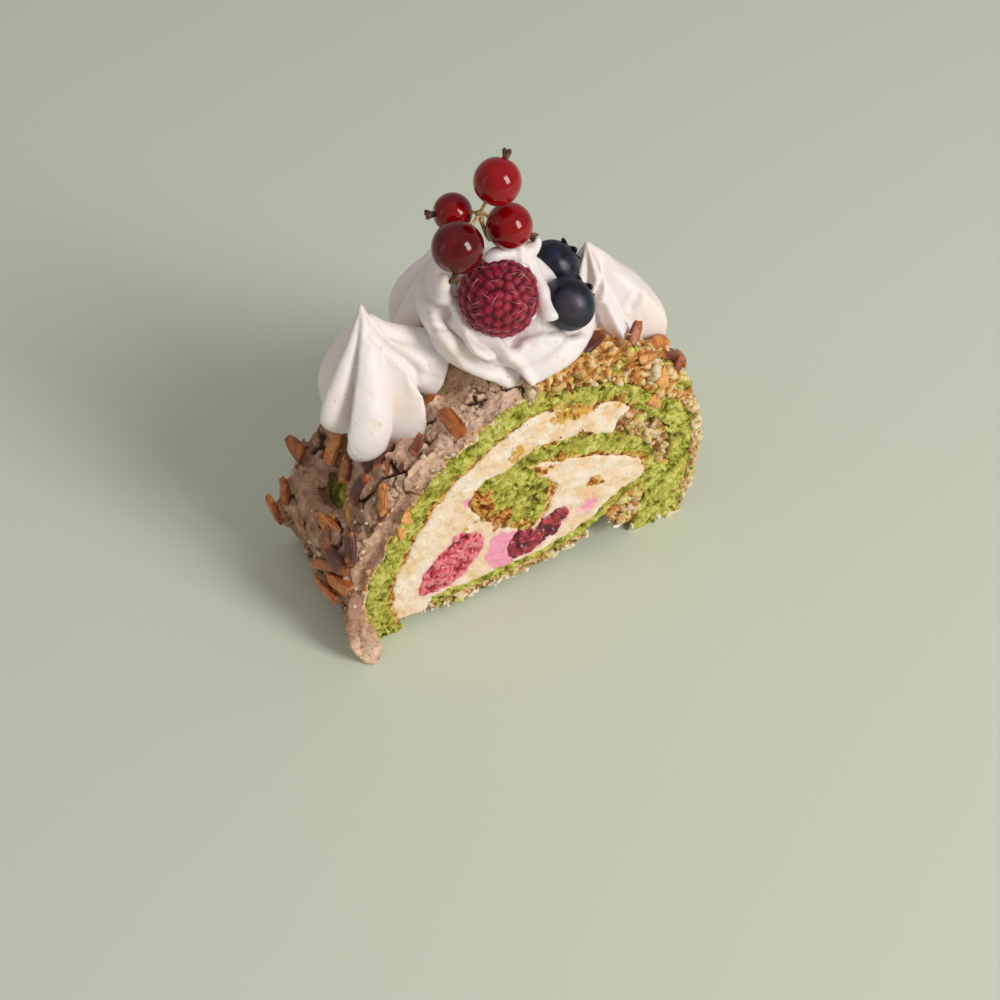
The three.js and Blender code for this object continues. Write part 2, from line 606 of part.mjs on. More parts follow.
add('sponge', sponge, SPONGE_GREEN, 0.9);
add('cream_filling', cream, CREAM_WHITE, 0.6);
add('raspberry_fill_left', raspberryLeft, RASPBERRY_RED, 0.5);
add('raspberry_fill_right', raspberryRight, RASPBERRY_RED, 0.5);
add('meringue_crust', crust, MERINGUE_TAN, 0.85);
add('meringue_inner', innerMeringue, MERINGUE_TAN, 0.85);
add('meringue_fold', foldMeringue, MERINGUE_TAN, 0.85);
add('meringue_base', baseMeringue, MERINGUE_TAN, 0.85);
add('swirl_centre', swirlCentre, PIPED_WHITE, 0.45);
add('swirl_left', swirlLeft, PIPED_WHITE, 0.45);
add('swirl_back', swirlBack, PIPED_WHITE, 0.45);
add('swirl_right', swirlRight, PIPED_WHITE, 0.45);
add('raspberry', berries, RASPBERRY_RED, 0.5);
BLUEBERRIES.forEach((one) => add(one.name, blueberry(one), BLUEBERRY_BLUE, 0.5));
CURRANTS.forEach((one) => add(one.name, currant(one), CURRANT_RED, 0.15));
add('currant_stem', currantStem, STEM_GREEN, 0.7);

// The origin is the middle of the slice's footprint, on the surface it stands on
const box = new THREE.Box3().setFromObject(slice);
slice.position.set(-(box.min.x + box.max.x) / 2, -(box.min.y + box.max.y) / 2, -box.min.z);

export default slice;
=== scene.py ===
"""The looks of a roll cake slice: porous green sponge, cream and crushed raspberries at the cut, an almond
meringue crust, piped cream, and berries on top. It is laid out as a Blender add-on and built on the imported
frame.

Places on the cake are in millimetres on the cut: u runs along the front cut, y back through the slice, and z
up. Other lengths and sizes are in millimetres too, where nothing else is said."""
import math
import random

import bmesh
import bpy
from mathutils import Matrix, Vector, noise
from mathutils.bvhtree import BVHTree
from mathutils.kdtree import KDTree


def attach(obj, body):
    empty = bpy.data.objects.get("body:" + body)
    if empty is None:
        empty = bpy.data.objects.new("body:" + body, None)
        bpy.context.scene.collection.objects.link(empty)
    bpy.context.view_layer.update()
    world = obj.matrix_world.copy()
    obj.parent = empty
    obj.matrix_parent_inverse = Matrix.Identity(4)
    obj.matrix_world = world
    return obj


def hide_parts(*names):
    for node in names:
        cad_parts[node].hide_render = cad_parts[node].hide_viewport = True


bl_info = {
    "name": "Roll Cake Slice",
    "version": (1, 0, 0),
    "blender": (4, 5, 0),
    "location": "View3D > Sidebar > Roll Cake",
    "description": "Builds the looks of a slice of roll cake on its packed frame",
    "category": "Object",
}

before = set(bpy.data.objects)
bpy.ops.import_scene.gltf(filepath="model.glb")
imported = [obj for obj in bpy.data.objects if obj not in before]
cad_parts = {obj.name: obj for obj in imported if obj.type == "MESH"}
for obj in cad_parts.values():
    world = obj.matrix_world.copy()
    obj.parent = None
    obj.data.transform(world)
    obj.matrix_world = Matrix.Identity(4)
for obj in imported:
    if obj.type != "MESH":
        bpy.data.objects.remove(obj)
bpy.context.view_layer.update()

MM = 0.001
ORIGIN = Vector((42.14, 18.28, 0))    # the frame's origin, as a place on the cut
DEPTH = 40                            # from the front cut to the back cut
ROLL_AXIS = (44, 12)                  # u and z of the middle of the roll

# The crust's outer contour [u, z], from the left foot over the top to the right foot
CRUST_CONTOUR = [
    (-3.3, 1.4), (-5.3, 9), (-5.9, 19), (-2.6, 29), (4.6, 38.4), (11.4, 45.6), (20, 51), (31, 58), (42, 63),
    (52, 66), (61, 66.2), (70, 63.2), (79.6, 54.6), (87, 45), (91.2, 33), (92, 20), (90.6, 8), (88, 1.6),
]
# Almond slivers: (place along the contour from 0 to 1, y, turn and tilt in degrees, share of the full size,
# tone from dark 0 to golden 1)
SLIVERS = [
    (0.118, 35, 10, 12, 1, 0.6), (0.09, 36, 20, 12, 1.05, 0.7), (0.223, 28, 5, 10, 1, 0.75),
    (0.223, 19.6, 20, 12, 0.8, 0.45), (0.225, 11.7, 0, 10, 1.05, 0.1), (0.15, 15.4, 90, 14, 0.9, 0.75),
    (0.24, 4.6, 40, 12, 0.85, 0.85), (0.135, 6.5, 70, 18, 1.05, 0.15), (0.1, 5, 95, 20, 1.05, 0.75),
    (0.165, 4, 30, 14, 1, 0.1), (0.11, 10, 120, 18, 1, 0.6), (0.075, 8, 60, 14, 1, 0.7),
    (0.368, 5.4, 88, 12, 1, 0.55), (0.366, 16.2, 10, 12, 0.5, 0.75), (0.26, 14.5, 80, 6, 1, 0),
    (0.318, 7.4, 20, 12, 0.65, 0.3), (0.565, 3.8, 10, 10, 0.9, 0.05), (0.622, 3, 60, 50, 0.8, 0.5),
    (0.682, 5, 20, 25, 0.9, 0.8), (0.704, 3.6, 4, 14, 1.25, 0.35), (0.73, 4.4, 60, 10, 0.9, 0.6),
    (0.185, 36, 90, 15, 0.9, 0.5),
]
# Almonds that stick in the front cut: (u, z, turn in degrees, share of the full size, tone)
CUT_SLIVERS = [
    (78, 50.4, 74, 0.95, 1), (77, 43.4, 52, 0.8, 0.95), (82.6, 51, 128, 1, 0.35), (10.6, 37.6, 48, 0.75, 1),
    (8.4, 33.8, 80, 0.6, 0.9), (82.4, 20.2, 24, 0.45, 1), (61, 50.8, 10, 0.45, 0.1), (70.6, 55, 70, 0.6, 0.7),
    (73.6, 59.4, 20, 0.8, 0.75),
]

# Petals of the piped drops: (where the groove lies in degrees at the foot and at the tip, where the ridge is
# on the way to the next groove from 0 to 1, how far the petal hangs at the foot, how full it is from 0 to 1)
LEFT_PETALS = [
    (150, 160, 0.6, -5, 1), (204, 222, 0.14, 0.6, 1), (262, 318, 0.62, 2.4, 0.95), (306, 350, 0.4, -4, 0.3),
    (20, 30, 0.5, 0.5, 0.6), (85, 95, 0.5, 0.5, 1),
]
BACK_GROOVES = [(20, 60), (85, 130), (140, 180), (205, 250), (262, 310), (320, 360)]
RIGHT_GROOVES = [
    (300, 258, 0.3), (5, 330, 0.35), (60, 50, 0.5), (120, 110, 0.5), (190, 180, 0.5), (245, 212, 0.6),
]
DROPS = {
    "left": dict(foot=(13.6, 21.6, 46.5), bend=(12.4, 21.4, 62), tip=(14, 26.8, 80.4),
                 radius=15.8, depth=0.58, slim=0.2, petals=LEFT_PETALS),
    "back": dict(foot=(34, 30, 53), bend=(33.5, 32.5, 72), tip=(38.5, 33, 85),
                 radius=12.4, depth=0.36, petals=[(foot, tip, 0.4, 2, 1) for foot, tip in BACK_GROOVES]),
    "right": dict(foot=(73, 15, 51), bend=(70.6, 16, 67), tip=(68.4, 20.6, 81),
                  radius=15.2, depth=0.52, petals=[(*groove, 2, 1) for groove in RIGHT_GROOVES]),
    "centre": dict(foot=(47.4, 20.6, 58), bend=(47, 20, 76), tip=(48.6, 16.6, 90.4),
                   radius=15.2, depth=0.14, petals=[(50 * i, 50 * i + 90, 0.5, 2, 1) for i in range(7)]),
}
RIBBON_CENTRE = (47.4, 20.6)
# Ribbons round the centre: (from and to in degrees, radius, height at both ends, thickness)
RIBBONS = [
    (100, 200, 13.2, 68, 67, 7.2), (85, 275, 13.9, 80, 65, 7.4), (205, 395, 13.9, 66, 69, 7.4),
    (375, 490, 13, 70, 68, 7), (130, 335, 8.6, 74, 77, 5.6),
]
# Ropes of cream: (piece, stations (u, y, z, radius))
ROPES = [
    ("left", [(13, 25, 70, 3.4), (18, 23.4, 66, 4.6), (23.4, 21.6, 62.4, 5.6), (29.6, 20, 59.5, 6.4)]),
    ("left", [(14.6, 26.2, 77.4, 0.9), (18, 25.4, 72.6, 2.2), (23, 24, 68.4, 3.4), (30, 21.4, 64.4, 5)]),
    ("left", [(15.4, 23.6, 71.4, 2), (19, 22, 68, 3.2), (24, 20.6, 64.6, 4.4), (30, 19, 62, 5.4)]),
    ("centre", [(40, 18, 87.6, 1.4), (42.6, 17.8, 88.8, 2.1), (46, 17.6, 88.4, 1.9), (49.4, 17.6, 87, 2.5),
                (52.2, 17.2, 88.2, 1.9), (53.4, 16.9, 90.8, 0.7)]),
    ("centre", [(50.8, 17.4, 86, 1.8), (50.3, 13, 82.8, 2), (50.4, 9, 80, 2.1), (50.6, 5.6, 76.2, 2.7)]),
    ("centre", [(31.4, 20.6, 79, 2.6), (30.8, 19.8, 83, 1.5), (30.6, 19.4, 86.4, 1.7),
                (30.6, 19.3, 87.6, 0.9)]),
]
# Creases pressed into the cream: (piece, width, depth, places (u, y, z) near its surface)
CREASES = [
    ("centre", 1.1, 3.2, [
        (31.5, 22, 80), (30.4, 18.8, 77.5), (29.5, 15.4, 76.4), (29.8, 12.6, 75), (31.1, 10.5, 72.5),
        (33.5, 8, 70), (36, 5.6, 68.4), (39.5, 4, 66), (43.5, 3.4, 63.5), (46, 3.6, 62)]),
    ("centre", 1, 2.4, [
        (32.5, 11.7, 76), (34.1, 9, 75), (35.3, 7.5, 73.9), (36.8, 6, 71.2), (38.1, 4.8, 69.1),
        (40.4, 3.8, 66.8), (44, 3.2, 64)]),
    ("centre", 1.1, 1.6, [
        (38.2, 7.4, 74.1), (41.7, 6.8, 74), (45.5, 6.8, 75), (49.9, 5.5, 75.2), (54.3, 4.1, 73.3),
        (59, 5.4, 69)]),
    ("centre", 0.5, 0.7, [(27, 18.4, 74), (28.2, 16.2, 75.5), (29.3, 14.8, 75.8)]),
    ("left", 0.8, 0.9, [
        (12.4, 23, 75.6), (15.8, 21.4, 73), (18, 19.6, 70.4), (20.4, 17.6, 67.4), (22, 15.4, 64),
        (22.4, 13.4, 60)]),
    ("right", 0.8, 0.8, [(77.4, 10.4, 70), (75, 8, 69), (72.7, 6.8, 67.6), (70.2, 6.4, 65)]),
]

# Fruit on top
RASPBERRY = dict(at=(41.9, 14.4, 80.2), towards=(-0.45, -0.75, 0.5))
BLUEBERRIES = {
    "upper": dict(at=(59.4, 20.3, 77.7), crown=(0.85, 0.25, 0.35)),
    "lower": dict(at=(55.8, 7.6, 77.4), crown=(0.9, 0.35, 0.3)),
}
# dark: how much painted shade darkens each currant; the front one, which lies in shade, gets the most
CURRANTS = {
    "top": dict(at=(44.8, 20.2, 106.6), radius=5.25, calyx=(0.55, 0.35, 0.75), dark=0),
    "right": dict(at=(46.9, 18.7, 95), radius=5.2, calyx=(0.75, -0.3, -0.55), dark=0.1),
    "front": dict(at=(33.4, 17.3, 95.2), radius=5.8, calyx=(-0.4, -0.5, -0.75), dark=0.85),
    "back": dict(at=(37.4, 27, 96.6), radius=4.4, calyx=(-0.9, 0.2, 0.1), dark=0.2),
}
STEM_NODE = (41.3, 21.6, 98.4)
STEM_FOOT = (43.6, 21.4, 90.6)


# ---------- settings ----------
def srgb(red, green, blue):
    """A colour given from 0 to 255, in Blender's linear numbers."""
    def linear(value):
        value /= 255
        return value / 12.92 if value <= 0.04045 else ((value + 0.055) / 1.055) ** 2.4
    return (linear(red), linear(green), linear(blue))


def colour_setting(name, description, *rgb):
    return bpy.props.FloatVectorProperty(
        name=name, description=description, default=srgb(*rgb), min=0, max=1, size=3, subtype="COLOR")


def size_setting(name, description, millimetres):
    return bpy.props.FloatProperty(
        name=name, description=description, default=millimetres * MM, min=0,
        subtype="DISTANCE", unit="LENGTH", precision=5)


class RollCakeColours(bpy.types.PropertyGroup):
    """Colours of the cake."""
    sponge: colour_setting("Sponge", "Crumb of the sponge", 144, 148, 42)
    # sponge_light is a painted highlight on the raised crumb, and sponge_dark is painted shade in the pores
    sponge_light: colour_setting("Sponge light", "Tips of the sponge's crumb", 222, 222, 124)
    sponge_dark: colour_setting("Sponge dark", "Pores of the sponge", 70, 66, 18)
    baked: colour_setting("Baked skin", "Browned inner skin of the sponge sheet", 184, 112, 42)
    cream: colour_setting("Filling cream", "Cream at the cut", 250, 235, 214)
    pink: colour_setting("Pink cream", "Cream stained by raspberry", 248, 164, 190)
    piped: colour_setting("Piped cream", "Whipped cream on top", 243, 238, 235)
    meringue: colour_setting("Meringue", "Dried outside of the meringue", 242, 208, 180)
    # meringue_dark is the toasted specks' own colour and, in hollows and cracks, painted shade
    meringue_dark: colour_setting("Toasted meringue", "Specks and hollows of the meringue", 126, 88, 64)
    meringue_pale: colour_setting("Broken meringue", "Inside of the meringue, where it broke", 240, 224, 188)
    almond: colour_setting("Almond", "Caramelised almond", 216, 136, 56)
    almond_dark: colour_setting("Almond skin", "Dark roasted almond", 84, 34, 24)
    raspberry: colour_setting("Raspberry", "Skin of the raspberry", 136, 18, 42)
    flesh: colour_setting("Raspberry flesh", "Crushed raspberry at the cut", 204, 56, 76)
    blueberry: colour_setting("Blueberry", "Skin of the blueberry", 6, 9, 22)
    bloom: colour_setting("Bloom", "Pale bloom on the blueberry", 40, 52, 88)
    currant: colour_setting("Currant", "Skin of the red currant", 160, 0, 12)
    stem: colour_setting("Stem", "Stem of the currants", 190, 158, 92)
    floor: colour_setting("Floor", "Studio floor", 216, 228, 208)


class RollCakeSizes(bpy.types.PropertyGroup):
    """Sizes of the cake's details."""
    pore: size_setting("Sponge pore", "Distance between the sponge's pores", 1.6)
    sliver_length: size_setting("Sliver length", "Length of an almond sliver", 9)
    sliver_width: size_setting("Sliver width", "Width of an almond sliver", 4.2)
    sliver_thickness: size_setting("Sliver thickness", "Thickness of an almond sliver", 1.7)
    raspberry_radius: size_setting("Raspberry radius", "Radius of the raspberry", 9.4)
    blueberry_radius: size_setting("Blueberry radius", "Radius of a blueberry", 6.3)
    stem_radius: size_setting("Stem radius", "Radius of the currants' main stem", 0.5)


def colours():
    return bpy.context.scene.roll_cake_colours


def sizes():
    return bpy.context.scene.roll_cake_sizes


def in_mm(name):
    """One of the size settings, in millimetres."""
    return getattr(sizes(), name) / MM


# ---------- helpers ----------
def mix(a, b, t):
    """From a at 0 to b at 1."""
    return a + (b - a) * t


def step(low, high, value):
    """0 below low, 1 above high, and smooth between them."""
    t = min(1, max(0, (value - low) / (high - low)))
    return t * t * (3 - 2 * t)


def on_cut(co):
    """A place in the frame, in metres, as a place on the cut."""
    return co / MM + ORIGIN


def in_frame(place):
    """A place on the cut as a place in the frame, in metres."""
    return (Vector(place) - ORIGIN) * MM


NOISE_SHIFT = Vector((17.3, 5.1, 9.7))
NOISE_SEED = 4           # without a seed, noise_vector would differ from run to run


def cloud(p, size, seed=0, octaves=3):
    """Cloudy noise from about -1 to 1, with lumps of that size."""
    return noise.fractal(p / size + NOISE_SHIFT * seed, 1, 2, octaves)


def billow(p, size, seed=0, octaves=4):
    """Crumbly noise from 0 in sharp hollows to about 1 on round lumps."""
    return noise.turbulence(p / size + NOISE_SHIFT * seed, octaves, True)


def cells(p, size, seed=0):
    """Distances to the nearest and the next point of a random scatter, and the nearest point."""
    distances, points = noise.voronoi(p / size + NOISE_SHIFT * seed)
    return distances[0], distances[1], points[0]


def within(p, u, z, reach_u, reach_z):
    """1 in the middle of an oval on the cut, falling to 0 at its edge."""
    return max(0, 1 - math.hypot((p.x - u) / reach_u, (p.z - z) / reach_z))


def cad_copy(node):
    """A closed copy of a CAD node's mesh."""
    bm = bmesh.new()
    bm.from_mesh(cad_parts[node].data)
    bmesh.ops.remove_doubles(bm, verts=bm.verts, dist=1e-6)
    return bm


def between(node, low, high):
    """A closed copy of the part of a CAD node from one depth to another, in mm from the front cut."""
    bm = cad_copy(node)
    for depth, side in ((low, -1), (high, 1)):
        geometry = [*bm.verts, *bm.edges, *bm.faces]
        cut = bmesh.ops.bisect_plane(bm, geom=geometry, plane_co=in_frame((0, depth, 0)),
                                     plane_no=(0, side, 0), clear_outer=True)["geom_cut"]
        edges = [part for part in cut if isinstance(part, bmesh.types.BMEdge)]
        bmesh.ops.triangle_fill(bm, use_beauty=True, edges=edges)
    bmesh.ops.recalc_face_normals(bm, faces=bm.faces)
    return bm


def ring_angles(count):
    """Angles in radians that go round a circle in even steps."""
    return [2 * math.pi * i / count for i in range(count)]


def depth_in(p):
    """How far a place is from the nearer of the two cuts."""
    return min(p.y, DEPTH - p.y)


def even_net(bm, size):
    """The same solid as an even net of squares of that size; overlapping shells become one."""
    mesh = bpy.data.meshes.new("net")
    bm.to_mesh(mesh)
    bm.free()
    carrier = bpy.data.objects.new("net", mesh)
    bpy.context.scene.collection.objects.link(carrier)
    remesh = carrier.modifiers.new("net", "REMESH")
    remesh.mode = "VOXEL"
    remesh.voxel_size = size * MM
    net = bmesh.new()
    net.from_object(carrier, bpy.context.evaluated_depsgraph_get())
    bpy.data.objects.remove(carrier)
    bpy.data.meshes.remove(mesh)
    if not net.faces:
        raise RuntimeError("the remesh gave no faces")
    return net


def on_cuts(bm):
    """The faces of a net that look to the front or the back."""
    return [face for face in bm.faces if abs(face.normal.y) > 0.6]


def refine(bm, faces):
    """Halves these faces' edges, so that fine relief fits on them."""
    edges = dict.fromkeys(edge for face in faces for edge in face.edges)
    bmesh.ops.subdivide_edges(bm, edges=list(edges), cuts=1, use_grid_fill=True)


DRAGGED_DEPTH = 5        # how deep the knife dragged the food about


def ragged(p):
    """How the knife dragged the soft cut faces about at a place near one of the two cuts."""
    depth = depth_in(p)
    if depth > DRAGGED_DEPTH:
        return Vector()
    drag = noise.noise_vector(p / 3.4) * 0.95 + noise.noise_vector(p / 1.2 + NOISE_SHIFT) * 0.4
    drag.y = 0
    drag.z *= step(0, 4, p.z)
    return drag * (1 - step(1.5, DRAGGED_DEPTH, depth))


def sculpt(bm, shape, *told, drag=False):
    """Moves each vertex along its normal by the first number, in mm, that shape(place, normal) gives.
    The other numbers are kept as attributes with the names told. With drag, the cut faces are ragged too."""
    layers = [bm.verts.layers.float.new(name) for name in told]
    bm.normal_update()
    moves = []
    for vertex in bm.verts:
        p = on_cut(vertex.co)
        height, *values = shape(p, vertex.normal)
        for layer, value in zip(layers, values):
            vertex[layer] = value
        move = vertex.normal * height
        if drag:
            move += ragged(p)
        moves.append(move * MM)
    for vertex, move in zip(bm.verts, moves):
        vertex.co += move
        vertex.co.z = max(0, vertex.co.z)


def piece(name, bm, material, replaces=()):
    """Makes a finished piece of the cake from a bmesh."""
    for face in bm.faces:
        face.smooth = True
    mesh = bpy.data.meshes.new(name)
    bm.to_mesh(mesh)
    bm.free()
    mesh.materials.append(material)
    made = bpy.data.objects.new(name, mesh)
    bpy.context.scene.collection.objects.link(made)
    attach(made, "root")
    if replaces:
        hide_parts(*replaces)


def loft(bm, rings):
    """Adds a closed skin: a circle is laid on the first ring of places and extruded from ring to ring."""
    count = len(rings[0])
    ring = bmesh.ops.create_circle(bm, cap_ends=True, segments=count, radius=MM)["verts"]
    skin = list(ring)
    for number, places in enumerate(rings):
        if number:
            edges = [bm.edges.get((ring[i], ring[(i + 1) % count])) for i in range(count)]
            raised = bmesh.ops.extrude_edge_only(bm, edges=edges)["geom"]
            fresh = {v for v in raised if isinstance(v, bmesh.types.BMVert)}
            ring = [next(e.other_vert(v) for e in v.link_edges if e.other_vert(v) in fresh) for v in ring]
            skin += ring
        for vertex, place in zip(ring, places):
            vertex.co = in_frame(place)
    bmesh.ops.edgeloop_fill(bm, edges=[bm.edges.get((ring[i], ring[(i + 1) % count])) for i in range(count)])
    faces = {face for vertex in skin for face in vertex.link_faces}
    bmesh.ops.recalc_face_normals(bm, faces=list(faces))
    return skin


def bezier(points, t):
    """A place on the curve with three control points."""
    a, b, c = (Vector(point) for point in points)
    return a.lerp(b, t).lerp(b.lerp(c, t), t)


STEPS_BETWEEN = 12      # on a path, from one of its points to the next


def smooth_path(points, count):
    """Places evenly spread on a round curve through a few points."""
    ends = [points[0], *points, points[-1]]
    dense = []
    for i in range(len(points) - 1):
        a, b, c, d = (Vector(point) for point in ends[i:i + 4])
        for k in range(STEPS_BETWEEN):
            t = k / STEPS_BETWEEN
            dense.append(0.5 * (2 * b + (c - a) * t + (2 * a - 5 * b + 4 * c - d) * t ** 2
                                + (3 * b - 3 * c + d - a) * t ** 3))
    dense.append(Vector(points[-1]))
    lengths = [0]
    for one, other in zip(dense, dense[1:]):
        lengths.append(lengths[-1] + (other - one).length)
    places = []
    k = 0
    for i in range(count):
        target = lengths[-1] * i / (count - 1)
        while k < len(dense) - 2 and lengths[k + 1] < target:
            k += 1
        share = (target - lengths[k]) / (lengths[k + 1] - lengths[k])
        places.append(dense[k].lerp(dense[k + 1], share))
    return places


CONTOUR_STEPS = 400
CONTOUR = smooth_path([(u, 0, z) for u, z in CRUST_CONTOUR], CONTOUR_STEPS + 1)


def contour(place):
    """A place on the crust's contour, from 0 to 1, with the directions along it and out of the cake."""
    k = min(CONTOUR_STEPS - 1, max(0, int(place * CONTOUR_STEPS)))
    along = (CONTOUR[k + 1] - CONTOUR[k]).normalized()
    return CONTOUR[k].copy(), along, Vector((-along.z, 0, along.x))


def tree_of(*names):
    """A search tree over CAD nodes or over pieces that are already made."""
    bm = bmesh.new()
    for name in names:
        bm.from_mesh(bpy.data.objects[name].data)
    tree = BVHTree.FromBMesh(bm)
    bm.free()
    return tree


# ---------- materials ----------
class Finish:
    """A material in the making; each method adds a node and gives its output."""

    def __init__(self, name, **constants):
        self.material = bpy.data.materials.new(name)
        self.material.use_nodes = True
        self.tree = self.material.node_tree
        self.shader = self.tree.nodes["Principled BSDF"]
        for socket, value in constants.items():
            self.shader.inputs[socket.replace("_", " ")].default_value = value

    def feed(self, socket, value):
        if isinstance(value, bpy.types.NodeSocket):
            self.tree.links.new(value, socket)
        elif socket.type == "RGBA":
            socket.default_value = (*value[:3], 1)
        else:
            socket.default_value = value

    def add(self, kind, inputs, **settings):
        node = self.tree.nodes.new(kind)
        for name, value in settings.items():
            setattr(node, name, value)
        for name, value in inputs.items():
            self.feed(node.inputs[name], value)
        return node

    def place(self, stretch=(1, 1, 1)):
        coordinates = self.add("ShaderNodeTexCoord", {}).outputs["Object"]
        if stretch == (1, 1, 1):
            return coordinates
        return self.add("ShaderNodeMapping", {"Vector": coordinates, "Scale": stretch}).outputs["Vector"]

    def cloud(self, size, detail=4, roughness=0.55, warp=0, stretch=(1, 1, 1)):
        inputs = {"Vector": self.place(stretch), "Scale": 1 / (size * MM), "Detail": detail,
                  "Roughness": roughness, "Distortion": warp}
        return self.add("ShaderNodeTexNoise", inputs).outputs["Fac"]

    def cells(self, size):
        inputs = {"Vector": self.place(), "Scale": 1 / (size * MM)}
        return self.add("ShaderNodeTexVoronoi", inputs).outputs["Distance"]

    def told(self, attribute):
        return self.add("ShaderNodeAttribute", {}, attribute_name=attribute).outputs["Fac"]

    def span(self, value, low, high, start=0, end=1):
        inputs = {"Value": value, "From Min": low, "From Max": high, "To Min": start, "To Max": end}
        return self.add("ShaderNodeMapRange", inputs).outputs["Result"]

    def sum(self, a, b, operation="ADD"):
        node = self.add("ShaderNodeMath", {0: a, 1: b}, operation=operation)
        return node.outputs[0]

    def part(self, value, share):
        return self.sum(value, share, "MULTIPLY")

    def varied(self, value, noise_of, *span):
        """A value made higher and lower by a cloud of the size and detail given, over that span."""
        return self.sum(value, self.span(self.cloud(*noise_of), *span))

    def mix(self, share, a, b):
        node = self.tree.nodes.new("ShaderNodeMix")
        node.data_type = "RGBA"
        for index, value in ((0, share), (6, a), (7, b)):
            self.feed(node.inputs[index], value)
        return node.outputs[2]

    def ramp(self, value, *stops):
        node = self.add("ShaderNodeValToRGB", {"Fac": value})
        stop_list = node.color_ramp.elements
        while len(stop_list) < len(stops):
            stop_list.new(0.5)
        for stop, (position, rgb) in zip(stop_list, stops):
            stop.position = position
            stop.color = (*rgb[:3], 1)
        return node.outputs["Color"]

    def bump(self, noise_of, depth, strength):
        """Fine relief from a cloud of the size and detail given."""
        inputs = {"Height": self.cloud(*noise_of), "Distance": depth * MM, "Strength": strength}
        return self.add("ShaderNodeBump", inputs).outputs["Normal"]

    def done(self, **outputs):
        for socket, value in outputs.items():
            self.feed(self.shader.inputs[socket.replace("_", " ")], value)
        return self.material


def darker(rgb, share):
    return tuple(value * share for value in rgb)


def mid(one, other):
    return tuple((a + b) / 2 for a, b in zip(one, other))


def sponge_finish():
    c = colours()
    finish = Finish("sponge", Roughness=0.88, Specular_IOR_Level=0.2, Subsurface_Weight=0.12,
                    Subsurface_Scale=0.0008)
    # painted shade in the pores and painted highlight on the raised crumb, set by the relief, with the
    # crumb's own tone from the clouds
    grain = finish.varied(finish.told("relief"), (0.6, 3), 0.3, 0.7, -0.22, 0.22)
    crumb = finish.ramp(finish.varied(grain, (4, 3), 0.35, 0.65, -0.2, 0.2),
                        (0.12, c.sponge_dark), (0.4, c.sponge), (0.66, mid(c.sponge, c.sponge_light)),
                        (0.95, c.sponge_light))
    patches = finish.span(finish.cloud(6, 2), 0.42, 0.68)
    yellow = finish.mix(finish.part(patches, 0.55), crumb, srgb(204, 190, 96))
    edge = finish.varied(finish.told("baked"), (1.4, 4), 0.35, 0.65, -0.4, 0.3)
    brown = finish.ramp(finish.varied(grain, (1.8, 2), 0.4, 0.6, -0.25, 0.25),
                        (0.2, srgb(112, 62, 20)), (0.45, c.baked), (0.7, srgb(214, 156, 76)),
                        (1, srgb(236, 204, 140)))
    colour = finish.mix(finish.span(edge, 0.32, 0.62), yellow, brown)
    return finish.done(Base_Color=colour, Normal=finish.bump((0.35, 3), 0.22, 0.6))


def cream_finish():
    c = colours()
    finish = Finish("filling_cream", Roughness=0.52, Subsurface_Weight=0.35, Subsurface_Scale=0.0012,
                    Subsurface_Radius=(1, 0.6, 0.4), Specular_IOR_Level=0.4)
    warm = finish.mix(finish.span(finish.cloud(5, 3), 0.4, 0.65), c.cream, srgb(240, 208, 162))
    specked = finish.mix(finish.span(finish.cells(1.9), 0.1, 0.07), warm, srgb(170, 120, 66))
    stain = finish.varied(finish.told("stain"), (1.8, 4), 0.3, 0.7, -0.22, 0.22)
    pink = finish.mix(finish.span(stain, 0.18, 0.62), specked, c.pink)
    crumbs = finish.varied(finish.told("crumbs"), (1.3, 3), 0.35, 0.65, -0.5, 0.3)
    colour = finish.mix(finish.span(crumbs, 0.2, 0.5), pink, srgb(216, 168, 70))
    return finish.done(Base_Color=colour, Normal=finish.bump((0.8, 4), 0.18, 0.5))


def mash_finish():
    c = colours()
    finish = Finish("crushed_raspberry", Roughness=0.3, Subsurface_Weight=0.3, Subsurface_Scale=0.001,
                    Subsurface_Radius=(1, 0.25, 0.2), Coat_Weight=0.35, Coat_Roughness=0.2)
    grain = finish.varied(finish.told("relief"), (1, 4), 0.3, 0.7, -0.3, 0.3)
    # darker where the relief is low: painted shade between the beads, on top of the flesh's own tone
    red = finish.ramp(grain, (0.1, darker(c.raspberry, 0.35)), (0.4, c.raspberry), (0.7, c.flesh),
                      (0.95, srgb(236, 140, 150)))
    return finish.done(Base_Color=red, Normal=finish.bump((0.5, 3), 0.2, 0.7))


